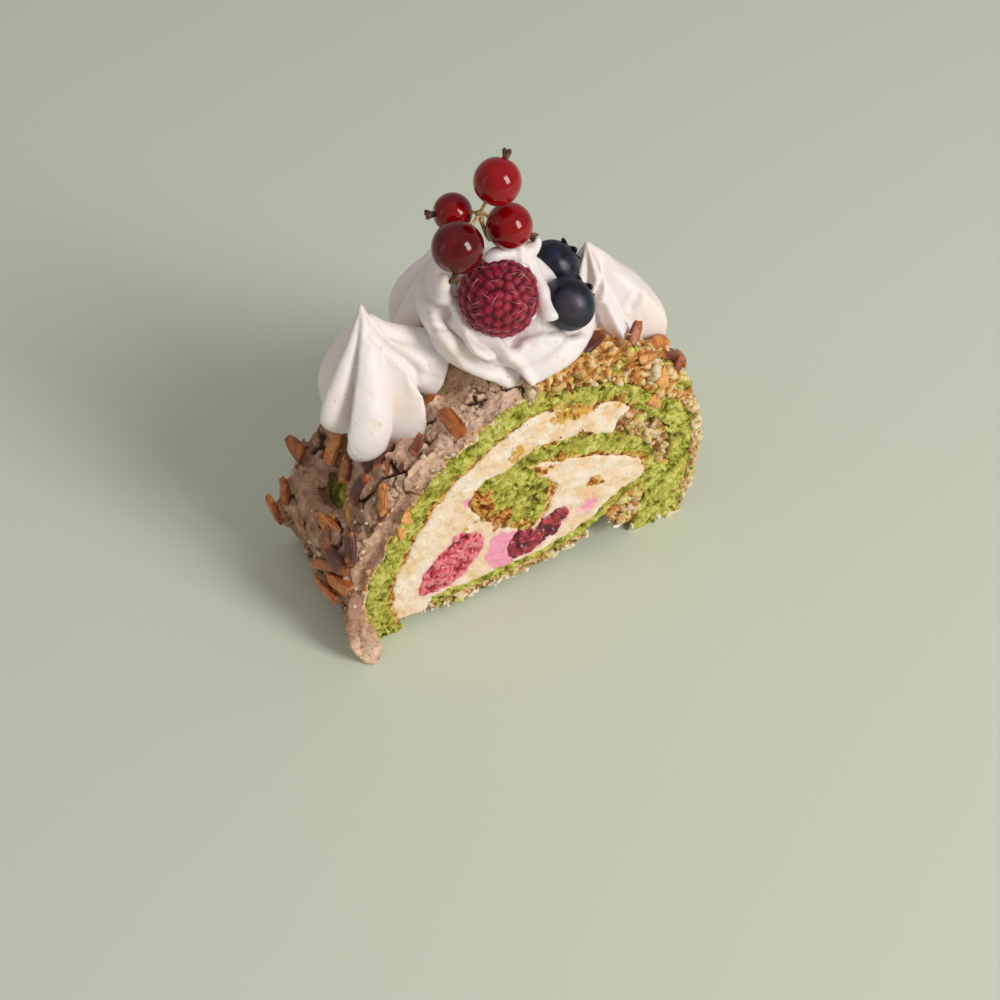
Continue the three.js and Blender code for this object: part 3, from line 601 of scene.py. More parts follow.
def meringue_finish():
    c = colours()
    finish = Finish("meringue", Roughness=0.82, Specular_IOR_Level=0.25)
    broad = finish.mix(finish.span(finish.cloud(8, 3), 0.4, 0.64), c.meringue, srgb(238, 208, 176))
    pinkish = finish.mix(finish.span(finish.cloud(3, 4, 0.65), 0.5, 0.66), broad, srgb(178, 140, 116))
    specks = finish.span(finish.cloud(0.8, 3, 0.6), 0.58, 0.68)
    # browner on the crust's left flank and near its right foot; on the left flank this is mostly painted
    # shade, with some real browning
    toast_and_shade = finish.varied(finish.told("toast_and_shade"), (5, 4), 0.35, 0.65, -0.35, 0.35)
    browned = finish.mix(finish.span(toast_and_shade, 0.2, 1, 0, 0.75), pinkish, srgb(150, 104, 76))
    specked = finish.mix(finish.part(specks, 0.8), browned, c.meringue_dark)
    # painted shade: the crust is darker where its relief is low, in cracks, pits and hollows
    hollow = finish.span(finish.told("relief"), 0.5, 0.1)
    skin = finish.mix(hollow, specked, darker(c.meringue_dark, 0.5))
    broken = finish.varied(finish.told("broken"), (1.3, 3), 0.35, 0.65, -0.25, 0.25)
    # the broken inside and the green crumbs are darker where the relief is low, which is painted shade in the
    # hollows, on top of the crumb's own tone
    grain = finish.varied(finish.told("relief"), (0.6, 3), 0.3, 0.7, -0.16, 0.16)
    pale = finish.ramp(grain, (0.15, srgb(128, 88, 44)), (0.42, srgb(216, 178, 120)), (0.75, c.meringue_pale))
    golden = finish.ramp(grain, (0.12, srgb(84, 44, 18)), (0.4, srgb(190, 122, 52)),
                         (0.66, srgb(224, 176, 102)), (0.92, srgb(244, 220, 172)))
    patches = finish.sum(finish.cloud(3.4, 3), finish.span(finish.told("broken"), 0.85, 1.15, 0.16, -0.1))
    inside = finish.mix(finish.span(patches, 0.5, 0.6), pale, golden)
    green = finish.ramp(grain, (0.15, srgb(84, 92, 26)), (0.45, c.sponge), (0.8, c.sponge_light))
    crumbs = finish.mix(finish.span(finish.cloud(3.6, 3, warp=0.8), 0.55, 0.6), inside, green)
    colour = finish.mix(finish.span(broken, 0.35, 0.65), skin, crumbs)
    return finish.done(Base_Color=colour, Normal=finish.bump((0.4, 4, 0.6), 0.3, 0.7))


def almond_finish():
    c = colours()
    finish = Finish("almond", Roughness=0.38, Coat_Weight=0.25, Coat_Roughness=0.3, Subsurface_Weight=0.12,
                    Subsurface_Scale=0.0008)
    tone = finish.varied(finish.told("tone"), (2.2, 3), 0.3, 0.7, -0.18, 0.18)
    body = finish.ramp(tone, (0, c.almond_dark), (0.3, srgb(128, 62, 30)), (0.55, srgb(184, 102, 44)),
                       (0.8, c.almond), (1, srgb(238, 180, 100)))
    veins = finish.span(finish.cloud(0.8, 3, stretch=(1, 0.25, 1)), 0.52, 0.66)
    colour = finish.mix(finish.part(veins, 0.45), body, darker(c.almond_dark, 0.9))
    return finish.done(Base_Color=colour, Normal=finish.bump((0.6, 4), 0.2, 0.6))


def crumb_finish():
    c = colours()
    finish = Finish("crumbs", Roughness=0.8, Specular_IOR_Level=0.3)
    tone = finish.varied(finish.told("tone"), (0.8, 3), 0.3, 0.7, -0.1, 0.1)
    body = finish.ramp(tone, (0.02, srgb(112, 58, 28)), (0.22, srgb(200, 124, 42)),
                       (0.42, srgb(216, 178, 96)), (0.62, srgb(224, 200, 158)), (0.8, c.meringue_pale),
                       (1, srgb(252, 246, 230)))
    specks = finish.span(finish.cloud(0.5, 2), 0.62, 0.72)
    colour = finish.mix(finish.part(specks, 0.5), body, c.meringue_dark)
    return finish.done(Base_Color=colour, Normal=finish.bump((0.35, 3), 0.2, 0.7))


def piped_finish():
    c = colours()
    finish = Finish("piped_cream", Roughness=0.42, Subsurface_Weight=0.4, Subsurface_Scale=0.0018,
                    Subsurface_Radius=(1, 0.7, 0.5), Specular_IOR_Level=0.42)
    warm = finish.mix(finish.span(finish.cloud(12, 2), 0.45, 0.7), c.piped, srgb(243, 233, 222))
    specks = finish.span(finish.cells(2.3), 0.062, 0.045)
    specked = finish.mix(finish.part(specks, 0.85), warm, srgb(74, 52, 34))
    smear = finish.varied(finish.told("stain"), (1.6, 3), 0.35, 0.65, -0.3, 0.3)
    colour = finish.mix(finish.span(smear, 0.3, 0.9, 0, 0.8), specked, srgb(222, 182, 118))
    return finish.done(Base_Color=colour, Normal=finish.bump((1.1, 4), 0.12, 0.35))


def raspberry_finish():
    c = colours()
    finish = Finish("raspberry", Roughness=0.5, Subsurface_Weight=0.2, Subsurface_Scale=0.001,
                    Subsurface_Radius=(1, 0.2, 0.2), Sheen_Weight=0.5, Sheen_Roughness=0.35,
                    Sheen_Tint=(1, 0.55, 0.62, 1), Specular_IOR_Level=0.3)
    broad = finish.mix(finish.span(finish.cloud(7, 2), 0.4, 0.65), c.raspberry, srgb(108, 10, 30))
    # painted highlight on the drupelets' tips and painted shade in the hollows between them
    tips = finish.mix(finish.span(finish.told("relief"), 0.84, 1), broad, srgb(178, 50, 76))
    colour = finish.mix(finish.span(finish.told("relief"), 0.86, 0.62), tips, darker(c.raspberry, 0.4))
    return finish.done(Base_Color=colour, Normal=finish.bump((0.3, 3), 0.1, 0.6))


def blueberry_finish():
    c = colours()
    finish = Finish("blueberry", Roughness=0.4, Specular_IOR_Level=0.45)
    bloom = finish.varied(finish.told("bloom"), (2.6, 5, 0.65), 0.35, 0.7, -0.35, 0.35)
    skin = finish.mix(finish.span(bloom, 0.35, 1.1, 0, 0.85), c.blueberry, c.bloom)
    # painted reflection: a pale greyish patch on the lower berry, facing the way that attribute gives
    painted_reflection = finish.mix(finish.span(finish.told("painted_reflection"), 0.2, 0.9, 0, 0.35), skin, srgb(104, 92, 100))
    colour = finish.mix(finish.told("crown"), painted_reflection, srgb(14, 14, 22))
    return finish.done(Base_Color=colour, Roughness=finish.span(bloom, 0.1, 0.9, 0.22, 0.5),
                       Normal=finish.bump((0.6, 4), 0.06, 0.5))


def currant_finish():
    c = colours()
    finish = Finish("currant", Roughness=0.2, Subsurface_Weight=0.2, Subsurface_Scale=0.003,
                    Subsurface_Radius=(1, 0.03, 0.02), Coat_Weight=1, Coat_Roughness=0.06, Coat_IOR=1.39,
                    Specular_IOR_Level=0.1)
    # painted shade: each currant is darkened by its dark value, the front one most
    shade = finish.varied(finish.told("dark"), (6, 2), 0.4, 0.65, 0, 0.4)
    deep = finish.mix(shade, c.currant, darker(c.currant, 0.28))
    colour = finish.mix(finish.span(finish.told("vein"), 0.8, 1, 0, 0.06), deep, srgb(214, 30, 30))
    return finish.done(Base_Color=colour)


def stem_finish():
    c = colours()
    finish = Finish("stem", Roughness=0.6, Subsurface_Weight=0.1, Subsurface_Scale=0.0006)
    colour = finish.ramp(finish.cloud(1.4, 3), (0.35, darker(c.stem, 0.5)), (0.5, c.stem),
                         (0.7, srgb(222, 204, 140)))
    return finish.done(Base_Color=colour, Normal=finish.bump((0.4, 3), 0.1, 0.6))


def calyx_finish():
    finish = Finish("dried_flower", Roughness=0.85)
    colour = finish.ramp(finish.cloud(0.9, 3), (0.35, srgb(48, 28, 22)), (0.55, srgb(104, 68, 46)),
                         (0.75, srgb(168, 122, 84)))
    return finish.done(Base_Color=colour, Normal=finish.bump((0.3, 3), 0.15, 0.8))


def hair_finish():
    finish = Finish("raspberry_hair", Roughness=0.5, Subsurface_Weight=0.1, Subsurface_Scale=0.0004)
    colour = finish.ramp(finish.cloud(2, 2), (0.4, srgb(190, 110, 110)), (0.6, srgb(226, 184, 168)))
    return finish.done(Base_Color=colour)


# ---------- sponge and fillings ----------
CUT_SLAB = 3.5          # thickness of the finely made slice of sponge and of cream at the front cut
BAKED_DEPTH = 2.7       # how far the browned skin reaches into the sheet
JUICE_REACH = 2.2       # how far the raspberries' juice goes into the cream
# Sizes of the net's squares, at the front cut and behind it
SPONGE_NETS = (0.5, 0.85)
CREAM_NETS = (0.55, 0.9)
MASH_NET = 0.5
MERINGUE_NET = 0.4
CRUST_NET = 0.8
# Where the crumb is brown all through: (u, z, reach along u, reach along z)
BROWN_CRUMB = [
    (30, 31.5, 3.6, 7), (34.6, 25.6, 4.2, 4), (48.2, 27.6, 1.8, 4.6), (28, 36.4, 1.6, 2.6),
    (40.6, 20.6, 3, 1.8),
]
# Where raspberry has stained the cream: (u, z, reach along u, reach along z, strength)
STAINS = [
    (34.6, 13.6, 5, 8.6, 2.4), (58.6, 17.5, 4.5, 5.5, 0.75), (25.4, 35.4, 1.8, 2.2, 1.2),
    (48.6, 38, 3, 1.6, 0.5),
]
# Where yellow crumbs lie in the cream, in the same way
CREAM_CRUMBS = [
    (53, 51.4, 9, 3, 1.5), (38.4, 44.5, 2.6, 4.6, 1.1), (24, 26.5, 3, 3, 0.5), (46, 44.4, 4, 1.4, 1.1),
    (61, 24.5, 2.2, 3, 1), (45.5, 35.6, 4.5, 1.7, 0.9), (66, 49.5, 5, 4, 0.6),
]


def dress_in_two(node, names, nets, shape, told, finish):
    """Makes two pieces of a node: a slab with a fine net at the front cut, and the rest behind it."""
    for name, low, high, net in ((names[0], -1, CUT_SLAB, nets[0]), (names[1], CUT_SLAB, DEPTH + 1, nets[1])):
        bm = even_net(between(node, low, high), net)
        refine(bm, [face for face in on_cuts(bm) if abs(on_cut(face.calc_center_median()).y - CUT_SLAB) > 1])
        sculpt(bm, shape, *told, drag=True)
        piece(name, bm, finish, [node])


def build_sponge():
    cream = tree_of("cream_filling")
    pore_size = in_mm("pore")

    def baked(p):
        """How browned the crumb is: most on the side of the cream that was the sheet's baked top."""
        place, _, _, distance = cream.find_nearest(in_frame(p))
        near = max(0, 1 - distance / MM / BAKED_DEPTH)
        in_roll = 27 < p.x < 79 and p.z < 45
        below = on_cut(place).z < p.z
        if in_roll and not below:
            near *= 0.35
        if p.z < 9 and p.x > 10:     # the sheet under the slice
            near *= 0.2
        return max(near, max(1.7 * within(p, *patch) for patch in BROWN_CRUMB))

    def shape(p, n):
        facing_cut = step(0.3, 0.8, abs(n.y))
        pore = max(0, 1 - cells(p, pore_size, 1)[0] / 0.42) ** 1.3
        hole = max(0, 1 - cells(p, 3.6, 4)[0] / 0.3)
        lump = cloud(p, 2.6, 2)
        crumb = billow(p, 1.7, 3, 3)
        height = mix(0.3, 0.3 * lump + 0.6 * (crumb - 0.4) - 0.5 * pore - 0.85 * hole, facing_cut)
        # relief is low in pores and holes, which the finish paints darker as shade
        return height, 0.34 + 0.25 * lump + 0.55 * crumb - 0.4 * pore - 0.6 * hole, baked(p)

    names = ("sponge_crumb", "sponge_sheets")
    dress_in_two("sponge", names, SPONGE_NETS, shape, ("relief", "baked"), sponge_finish())


def build_cream():
    fruit = tree_of("raspberry_fill_left", "raspberry_fill_right")

    def in_all(p, patches):
        return sum(strength * within(p, *patch) for *patch, strength in patches)

    def shape(p, n):
        facing_cut = step(0.4, 0.8, abs(n.y))
        bubble = max(0, 1 - cells(p, 2.6, 5)[0] / 0.17)
        smear = 0.34 * cloud(Vector((p.x, p.y, p.z * 1.7)), 4.4, 6) + 0.16 * cloud(p, 1.5, 7)
        juice = max(0, 1 - fruit.find_nearest(in_frame(p))[3] / MM / JUICE_REACH)
        height = mix(0.42, 0.12 + smear - 0.5 * bubble, facing_cut)
        return height, 0.42 * juice + in_all(p, STAINS), in_all(p, CREAM_CRUMBS)

    names = ("cream_cut", "cream_spread")
    dress_in_two("cream_filling", names, CREAM_NETS, shape, ("stain", "crumbs"), cream_finish())


def build_mash():
    finish = mash_finish()
    for side, seed, paleness in (("left", 11, 0.38), ("right", 13, -0.05)):
        bm = even_net(cad_copy(f"raspberry_fill_{side}"), MASH_NET)
        refine(bm, on_cuts(bm))

        def shape(p, n):
            bead = math.sqrt(max(0, 1 - (cells(p, 2.5, seed)[0] / 0.75) ** 2))
            fine = cloud(p, 1.1, seed + 1)
            height = mix(0.45, 0.2 + 1.1 * (bead - 0.6) + 0.3 * fine, step(0.3, 0.8, abs(n.y)))
            return height, 0.1 + 0.5 * bead + 0.25 * fine + paleness

        sculpt(bm, shape, "relief", drag=True)
        piece(f"raspberry_mash_{side}", bm, finish, [f"raspberry_fill_{side}"])


def build_inner_meringue():
    finish = meringue_finish()
    for node, seed, broken in (("inner", 21, 0.62), ("fold", 22, 0.75), ("base", 23, 1.1)):
        bm = even_net(cad_copy(f"meringue_{node}"), MERINGUE_NET)

        def shape(p, n):
            crumb = billow(p, 3.4, seed)
            rough = 2.4 * (crumb - 0.42) + 0.25 * cloud(p, 1.1, seed)
            return mix(0.25, rough, step(0.3, 0.8, abs(n.y))), 0.05 + crumb, broken

        sculpt(bm, shape, "relief", "broken", drag=True)
        piece(f"meringue_chunks_{node}", bm, finish, [f"meringue_{node}"])


# ---------- meringue crust ----------
SKIN_END = 42            # u where the crust's cracked skin gives way to crumbly meringue
WORN_DEPTH = 4           # how far from a cut the crust's outer edge is worn
# Hollows and lumps of the crust: (u, y, z, rise, reach)
CRUST_LUMPS = [
    (-4, 27, 26, -1.6, 7), (4, 22, 37, -2.2, 7), (12, 7.5, 45, 1.6, 6.5), (3, 8, 36.5, 1.2, 6),
    (24, 9, 53, 0.9, 7), (31, 7, 57.5, 0.8, 6), (8.5, 14.5, 43, -1.5, 3.5), (19, 6.5, 50.5, -1.2, 2.6),
]


def crust_relief(p):
    """How far the crust stands out there and how light it is, darker in cracks, pits and low folds as painted
    shade: cracked flakes with a dried, pitted face.
    """
    warped = p + Vector((cloud(p, 6, 31), cloud(p, 6, 32), cloud(p, 6, 33))) * 1.8
    near, following, centre = cells(warped, 11, 34)
    opening = step(-0.1, 0.25, cloud(p, 11, 35, 2))
    crack = (1 - step(0.01, 0.09, following - near)) * opening
    flake = 1.3 * noise.cell(centre * 3.7) * step(0, 0.22, following - near)
    finer, finer_next, _ = cells(warped, 3.8, 36)
    hairline = (1 - step(0, 0.06, finer_next - finer)) * step(0, 0.3, cloud(p, 7, 37, 2))
    pitted = max(0, 1 - cells(p, 1.9, 38)[0] / 0.26)
    lump = cloud(p, 4.2, 39)
    fold = billow(p, 5.5, 43, 3) - 0.4
    fine = cloud(p, 1.1, 40, 2)
    height = flake + 0.5 * lump + 0.8 * fold + 0.2 * fine - 1.4 * crack - 0.5 * hairline - 0.45 * pitted
    for u, y, z, rise, reach in CRUST_LUMPS:
        height += rise * math.exp(-2.2 * ((p - Vector((u, y, z))).length / reach) ** 2)
    relief = 0.64 + 0.1 * lump + 0.35 * fold + 0.1 * fine - 0.8 * crack - 0.6 * hairline - 0.35 * pitted
    return height, relief


def outward(p, n):
    """How much a face of the crust looks away from the roll."""
    away = Vector((p.x - ROLL_AXIS[0], 0, p.z - ROLL_AXIS[1])).normalized()
    return n.dot(away)


def build_crust():
    sponge = tree_of("sponge")
    bm = even_net(cad_copy("meringue_crust"), CRUST_NET)
    outside = [face for face in bm.faces
               if outward(on_cut(face.calc_center_median()), face.normal) > 0.15]
    refine(bm, on_cuts(bm) + outside)

    def from_sponge(p):
        return sponge.find_nearest(in_frame(p))[3] / MM

    def round_off(p):
        """The crust's outer edge is worn back from the cut, so that its dried skin runs up to the sponge."""
        depth = depth_in(p)
        if depth > WORN_DEPTH or p.x > SKIN_END:
            return Vector()
        worn = step(0.5, 3.4, from_sponge(p)) * (1 - depth / WORN_DEPTH) * step(15, 20, p.z)
        back = 2.6 * worn * (1 if p.y < DEPTH / 2 else -1)
        inward = (Vector((ROLL_AXIS[0], 0, ROLL_AXIS[1])) - Vector((p.x, 0, p.z))).normalized() * (1.1 * worn)
        inward.z *= step(0, 4, p.z)
        return inward + Vector((0, back, 0))

    def shape(p, n):
        cut = step(0.55, 0.85, abs(n.y))
        outside = step(-0.1, 0.3, outward(p, n))
        height, relief = crust_relief(p)
        crumb = billow(p, 2.3, 41)
        lump = cloud(p, 1.3, 42)
        depth = depth_in(p)
        at_cut = max(cut, 0.8 * (1 - step(0.4, 1.6, depth)))
        if p.x < SKIN_END + 2:
            at_cut *= 1 - step(0.6, 1.5, from_sponge(p) + 0.35 * lump)
        right = step(SKIN_END, SKIN_END + 4, p.x) * (1 - step(1, 5, depth)) * step(38, 46, p.z)
        crumbly = step(SKIN_END - 1, SKIN_END + 4, p.x) * step(50, 55, p.z) * (1 - step(5, 9, p.y))
        broken = (1.25 if p.x < SKIN_END or p.z < 40 else 0.8) * max(at_cut, crumbly, right)
        loose = max(at_cut, crumbly)
        rough = 1.4 * (crumb - 0.42) + 0.3 * lump + 1.5 * crumbly * cloud(p, 4.8, 44, 2)
        # browner towards the left flank, mostly painted shade there, and near the right foot, which is real
        # browning
        toast_and_shade = 0.85 * (1 - step(4, 24, p.x)) + 0.3 * step(86, 92, p.x)
        if p.y < 2 and p.x < 0:      # the shard at the front foot stays pale
            toast_and_shade *= step(1, 10, p.z)
        height = mix(height, rough, loose) * max(outside, cut)
        return height, mix(relief, 0.1 + crumb + 0.15 * lump, loose), broken, toast_and_shade

    sculpt(bm, shape, "relief", "broken", "toast_and_shade", drag=True)
    for vertex in bm.verts:
        vertex.co += round_off(on_cut(vertex.co)) * MM
    piece("meringue_shell", bm, meringue_finish(), ["meringue_crust"])


def lump_of(bm, layer, place, size, tone, rng):
    """Adds one crumb: a small ball with its own dents."""
    turn = Matrix.Rotation(rng.uniform(0, 6.28), 4, Vector((rng.random(), rng.random(), 1)).normalized())
    squeeze = Vector((rng.uniform(0.7, 1.35), rng.uniform(0.5, 1), rng.uniform(0.45, 0.9)))
    seed = Vector((rng.uniform(0, 50), 0, 0))
    centre = in_frame(place)

    def shape(co):
        dent = 1 + 0.9 * noise.noise(co * 1.3 + seed) + 0.5 * noise.noise(co * 2.9 + seed)
        return centre + turn @ (co * squeeze * (dent * size / 2 * MM))

    add_ball(bm, layer, 2, shape, lambda co: tone)


def add_ball(bm, layer, subdivisions, shape, value):
    """Adds a ball whose points shape(point) puts in place, with value(point) as its attribute."""
    ball = bmesh.new()
    told = ball.verts.layers.float.new(layer)
    for vertex in bmesh.ops.create_icosphere(ball, subdivisions=subdivisions, radius=1)["verts"]:
        vertex[told] = value(vertex.co)
        vertex.co = shape(vertex.co)
        vertex.co.z = max(0, vertex.co.z)
    mesh = bpy.data.meshes.new("ball")
    ball.to_mesh(mesh)
    ball.free()
    bm.from_mesh(mesh)
    bpy.data.meshes.remove(mesh)


def sliver(bm, matrix, size, tone, rng):
    """Adds one piece of chopped almond: long and box-like, with slanting broken ends, slightly bowed."""
    s = sizes()
    half = Vector((s.sliver_length, s.sliver_width, s.sliver_thickness)) * (size / 2)
    half.y *= rng.uniform(0.7, 1.1)
    half.z *= rng.uniform(0.8, 1.3)
    bow = rng.uniform(-0.2, 0.35)
    ends = [(rng.uniform(0.62, 0.95), rng.uniform(-0.4, 0.4), rng.uniform(-0.3, 0.3)) for _ in range(2)]
    taper = rng.uniform(0.05, 0.4)
    seed = Vector((rng.uniform(0, 50), 0, 0))

    def boxy(co):
        x, y, z = (math.copysign(abs(v) ** 0.62, v) for v in co)
        y *= 1 - taper * x
        for sign, (reach, lean_y, lean_z) in zip((1, -1), ends):
            limit = reach + lean_y * y + lean_z * z
            if x * sign > limit:
                x = sign * limit
        return x, y, z

    def shape(co):
        x, y, z = boxy(co)
        rough = 1 + 0.16 * noise.noise(co * 1.6 + seed)
        return matrix @ (Vector((x, y, z + bow * x * x)) * half * rough)

    def value(co):
        x, y, _ = boxy(co)
        return tone + 0.3 * (abs(x) > 0.6) * (tone < 0.5) - 0.25 * (abs(y) > 0.8)

    add_ball(bm, "tone", 4, shape, value)


def crust_matrix(shell, place, y, turn, tilt, lift):
    """The frame of something lying on the crust: its length along x and its flat side up z."""
    point, along, out = contour(place)
    start = in_frame(point + out * 12 + Vector((0, y, 0)))
    hit, _, _, _ = shell.ray_cast(start, -out)
    if hit is None:
        raise RuntimeError(f"nothing of the crust lies at {place}, {y}")
    x_axis = Matrix.Rotation(math.radians(turn), 3, out) @ along
    side = out.cross(x_axis)
    tilted = Matrix.Rotation(math.radians(-tilt), 3, side)
    x_axis, up = tilted @ x_axis, tilted @ out
    matrix = Matrix((x_axis, side, up)).transposed().to_4x4()
    matrix.translation = hit + out * (lift * MM)
    return matrix


def cut_matrix(cake, u, z, turn):
    """The frame of something that sticks in the front cut, with its length along x."""
    hit = cake.ray_cast(in_frame((u, -15, z)), Vector((0, 1, 0)))[0]
    if hit is None:
        raise RuntimeError(f"nothing of the cut lies at {u}, {z}")
    matrix = Matrix.Rotation(math.radians(-90), 4, "X") @ Matrix.Rotation(math.radians(turn), 4, "Z")
    matrix = Matrix.Rotation(math.radians(12), 4, "Z") @ matrix
    matrix.translation = hit + Vector((0, 0.3 * MM, 0))
    return matrix


SLIVER_BITS = 46         # broken bits of sliver, most on the left flank


def build_almonds():
    shell = tree_of("meringue_shell", "sponge_crumb", "sponge_sheets", "cream_cut", "meringue_chunks_inner")
    rng = random.Random(5)
    bm = bmesh.new()
    bm.verts.layers.float.new("tone")
    for place, y, turn, tilt, size, tone in SLIVERS:
        sliver(bm, crust_matrix(shell, place, y, turn, tilt, 0.35), size, tone, rng)
    for u, z, turn, size, tone in CUT_SLIVERS:
        sliver(bm, cut_matrix(shell, u, z, turn), size, tone, rng)
    for _ in range(SLIVER_BITS):
        left = rng.random() < 0.6
        place = rng.uniform(0.04, 0.3) if left else rng.uniform(0.6, 0.97)
        matrix = crust_matrix(shell, place, rng.uniform(2, 38), rng.uniform(0, 360), rng.uniform(0, 25), 0.1)
        sliver(bm, matrix, rng.uniform(0.28, 0.6), rng.uniform(0.05, 0.9), rng)
    piece("almond_slivers", bm, almond_finish())


LOOSE_CRUMBS = 150       # on the crust itself
# Crumbs along lines on the cut: (points [u, z], y range, how many, size range, tone range)
CRUMB_LINES = [
    ([(13, 2.4), (30, 2.2), (46, 2.8), (59, 5.8)], (-0.6, 1), 60, (0.9, 2.3), (0.8, 1)),
    ([(66, 7), (70, 3), (76, 1), (90, 0.8)], (-0.6, 1), 34, (0.9, 2.4), (0.75, 1)),
    ([(89, 2), (91.6, 12), (92, 24), (90.6, 34)], (-0.5, 3), 26, (0.7, 1.8), (0.5, 0.9)),
    ([(-3.6, 3), (-4.6, 12), (-3, 24), (1, 33), (9, 42)], (-0.3, 1), 30, (0.5, 1.6), (0.45, 0.8)),
    ([(14, 47), (24, 52.5), (36, 58.5)], (-0.3, 1), 26, (0.6, 1.5), (0.5, 0.85)),
    ([(44, 63), (52, 62), (60, 62), (68, 60), (73, 56)], (-0.4, 5), 26, (0.8, 3.2), (0.05, 0.5)),
    ([(46, 61), (55, 60), (64, 58), (70, 55)], (-0.5, 0.6), 26, (0.7, 2.6), (0.05, 0.6)),
    ([(76, 50), (83, 44), (88, 38)], (-0.4, 3), 24, (0.7, 2), (0.3, 0.8)),
    ([(27.6, 36.5), (28, 31), (32, 26.4), (36.6, 21.6)], (-0.7, 0.2), 30, (0.9, 2.2), (0.12, 0.45)),
    ([(48, 52.6), (53, 51.4), (60, 50.4)], (-0.5, 0.2), 22, (0.7, 1.8), (0.2, 0.5)),
    ([(57.6, 26), (60.4, 24.4), (62, 22)], (-0.5, 0.2), 9, (0.8, 2), (0.1, 0.35)),
    ([(44, 37.4), (50, 37.2), (56, 36)], (-0.5, 0.2), 12, (0.7, 1.7), (0.12, 0.4)),
    ([(68, 40), (74, 37), (78, 30), (79, 23)], (-0.7, 0.6), 44, (1, 3), (0.35, 0.7)),
    ([(67, 9), (71, 8), (72, 14)], (-0.7, 0.3), 22, (1, 2.6), (0.45, 0.75)),
    ([(75, 51), (75, 54), (74.4, 57)], (-0.6, 0.8), 8, (2.2, 4.2), (0.6, 0.75)),
    ([(39, 60), (43, 62.6)], (-0.6, 0.8), 8, (1.2, 2.6), (0.5, 0.75)),
    ([(44, 43.6), (52, 43.4), (60, 42)], (-0.5, 0.2), 14, (0.7, 1.6), (0.05, 0.5)),
]
SPONGE_CRUMB_LINES = [
    ([(46, 59), (56, 58), (66, 55.5)], (-0.6, 0.4), 30, (0.8, 2), (0, 1)),
    ([(76, 41), (81, 34), (82, 26)], (-0.5, 0.5), 14, (0.8, 1.8), (0, 1)),
    ([(14, 3.6), (36, 3.6), (56, 6)], (-0.6, 0.4), 18, (0.7, 1.4), (0, 1)),
    ([(34, 36), (40, 33), (44, 26)], (-0.6, 0), 16, (0.8, 1.8), (0, 1)),
    ([(0, 1), (6, 1), (10, 3)], (-0.6, 0.8), 14, (0.7, 1.6), (0, 1)),
    ([(74, 12), (80, 8), (86, 3)], (-0.5, 0.5), 16, (0.8, 1.8), (0, 1)),
]


def crumb_line(bm, layer, line, rng, ground):
    """Scatters crumbs along a line; each clings to the nearest surface of the cake."""
    points, (near, far), count, (small, large), (dark, light) = line
    path = smooth_path([(u, 0, z) for u, z in points], 40)
    for number in range(count):
        place = path[rng.randrange(len(path))] + Vector((rng.gauss(0, 0.9), 0, rng.gauss(0, 0.9)))
        place.y = rng.uniform(near, far)
        if number % 4 == 0:
            place.y = DEPTH - place.y
        size = mix(small, large, rng.random() ** 2)
        surface, normal, _, _ = ground.find_nearest(in_frame(place))
        place = on_cut(surface) + normal * (0.12 * size)
        place.z = max(place.z, size * 0.3)
        lump_of(bm, layer, place, size, rng.uniform(dark, light), rng)


def build_crumbs():
    rng = random.Random(9)
    ground = tree_of("meringue_shell", "sponge_crumb", "sponge_sheets", "cream_cut", "meringue_chunks_base",
                     "meringue_chunks_inner", "meringue_chunks_fold")
    bm = bmesh.new()
    bm.verts.layers.float.new("tone")
    for line in CRUMB_LINES:
        crumb_line(bm, "tone", line, rng, ground)
    shell = tree_of("meringue_shell", "sponge_crumb", "sponge_sheets")
    for _ in range(LOOSE_CRUMBS):
        place = rng.choice((rng.uniform(0.03, 0.35), rng.uniform(0.5, 0.97)))
        matrix = crust_matrix(shell, place, rng.uniform(1, 39), 0, 0, 0.2)
        lump_of(bm, "tone", on_cut(matrix.translation), rng.uniform(0.6, 1.7), rng.uniform(0.4, 0.9), rng)
    piece("meringue_crumbs", bm, crumb_finish())

    bm = bmesh.new()
    bm.verts.layers.float.new("relief")
    for line in SPONGE_CRUMB_LINES:
        crumb_line(bm, "relief", line, rng, ground)
    piece("sponge_crumbs", bm, sponge_finish())


# ---------- piped cream ----------
DROP_RINGS = 48
DROP_SIDES = 108
ROPE_TWIST = 2           # how far the grooves of a rope turn along it, in radians
ROPE_GROOVE = 0.2        # how deep they are, as a share of its radius
RIBBON_STEPS = 48
ROUND_END = 0.08         # the share of a plain rope that each of its round ends takes
CREASE_STEPS = 60
CREAM_NET = 0.32
CENTRE_NET = 0.36
# Yellow-brown smears on the cream: (u, y, z, reach)
CREAM_SMEARS = [(8, 9.8, 60, 3), (64.6, 3.5, 62.5, 5)]


def petal(angle, h, petals):
    """How full a piped drop is at an angle in degrees and a height from 0 to 1, from 0 in a groove to 1 on a
    ridge, and how far the petal there hangs down."""
    turned = sorted((mix(foot, tip, h) % 360, *rest) for foot, tip, *rest in petals)
    k = sum(one[0] <= angle for one in turned) - 1
    start, ridge, hang, size = turned[k]
    end = turned[(k + 1) % len(turned)][0]
    t = (angle - start) % 360 / ((end - start) % 360)
    if t < ridge:
        return size * (t / ridge) ** 1.2, hang
    return size * math.sin(math.pi / 2 * (1 - t) / (1 - ridge)) ** 0.55, hang


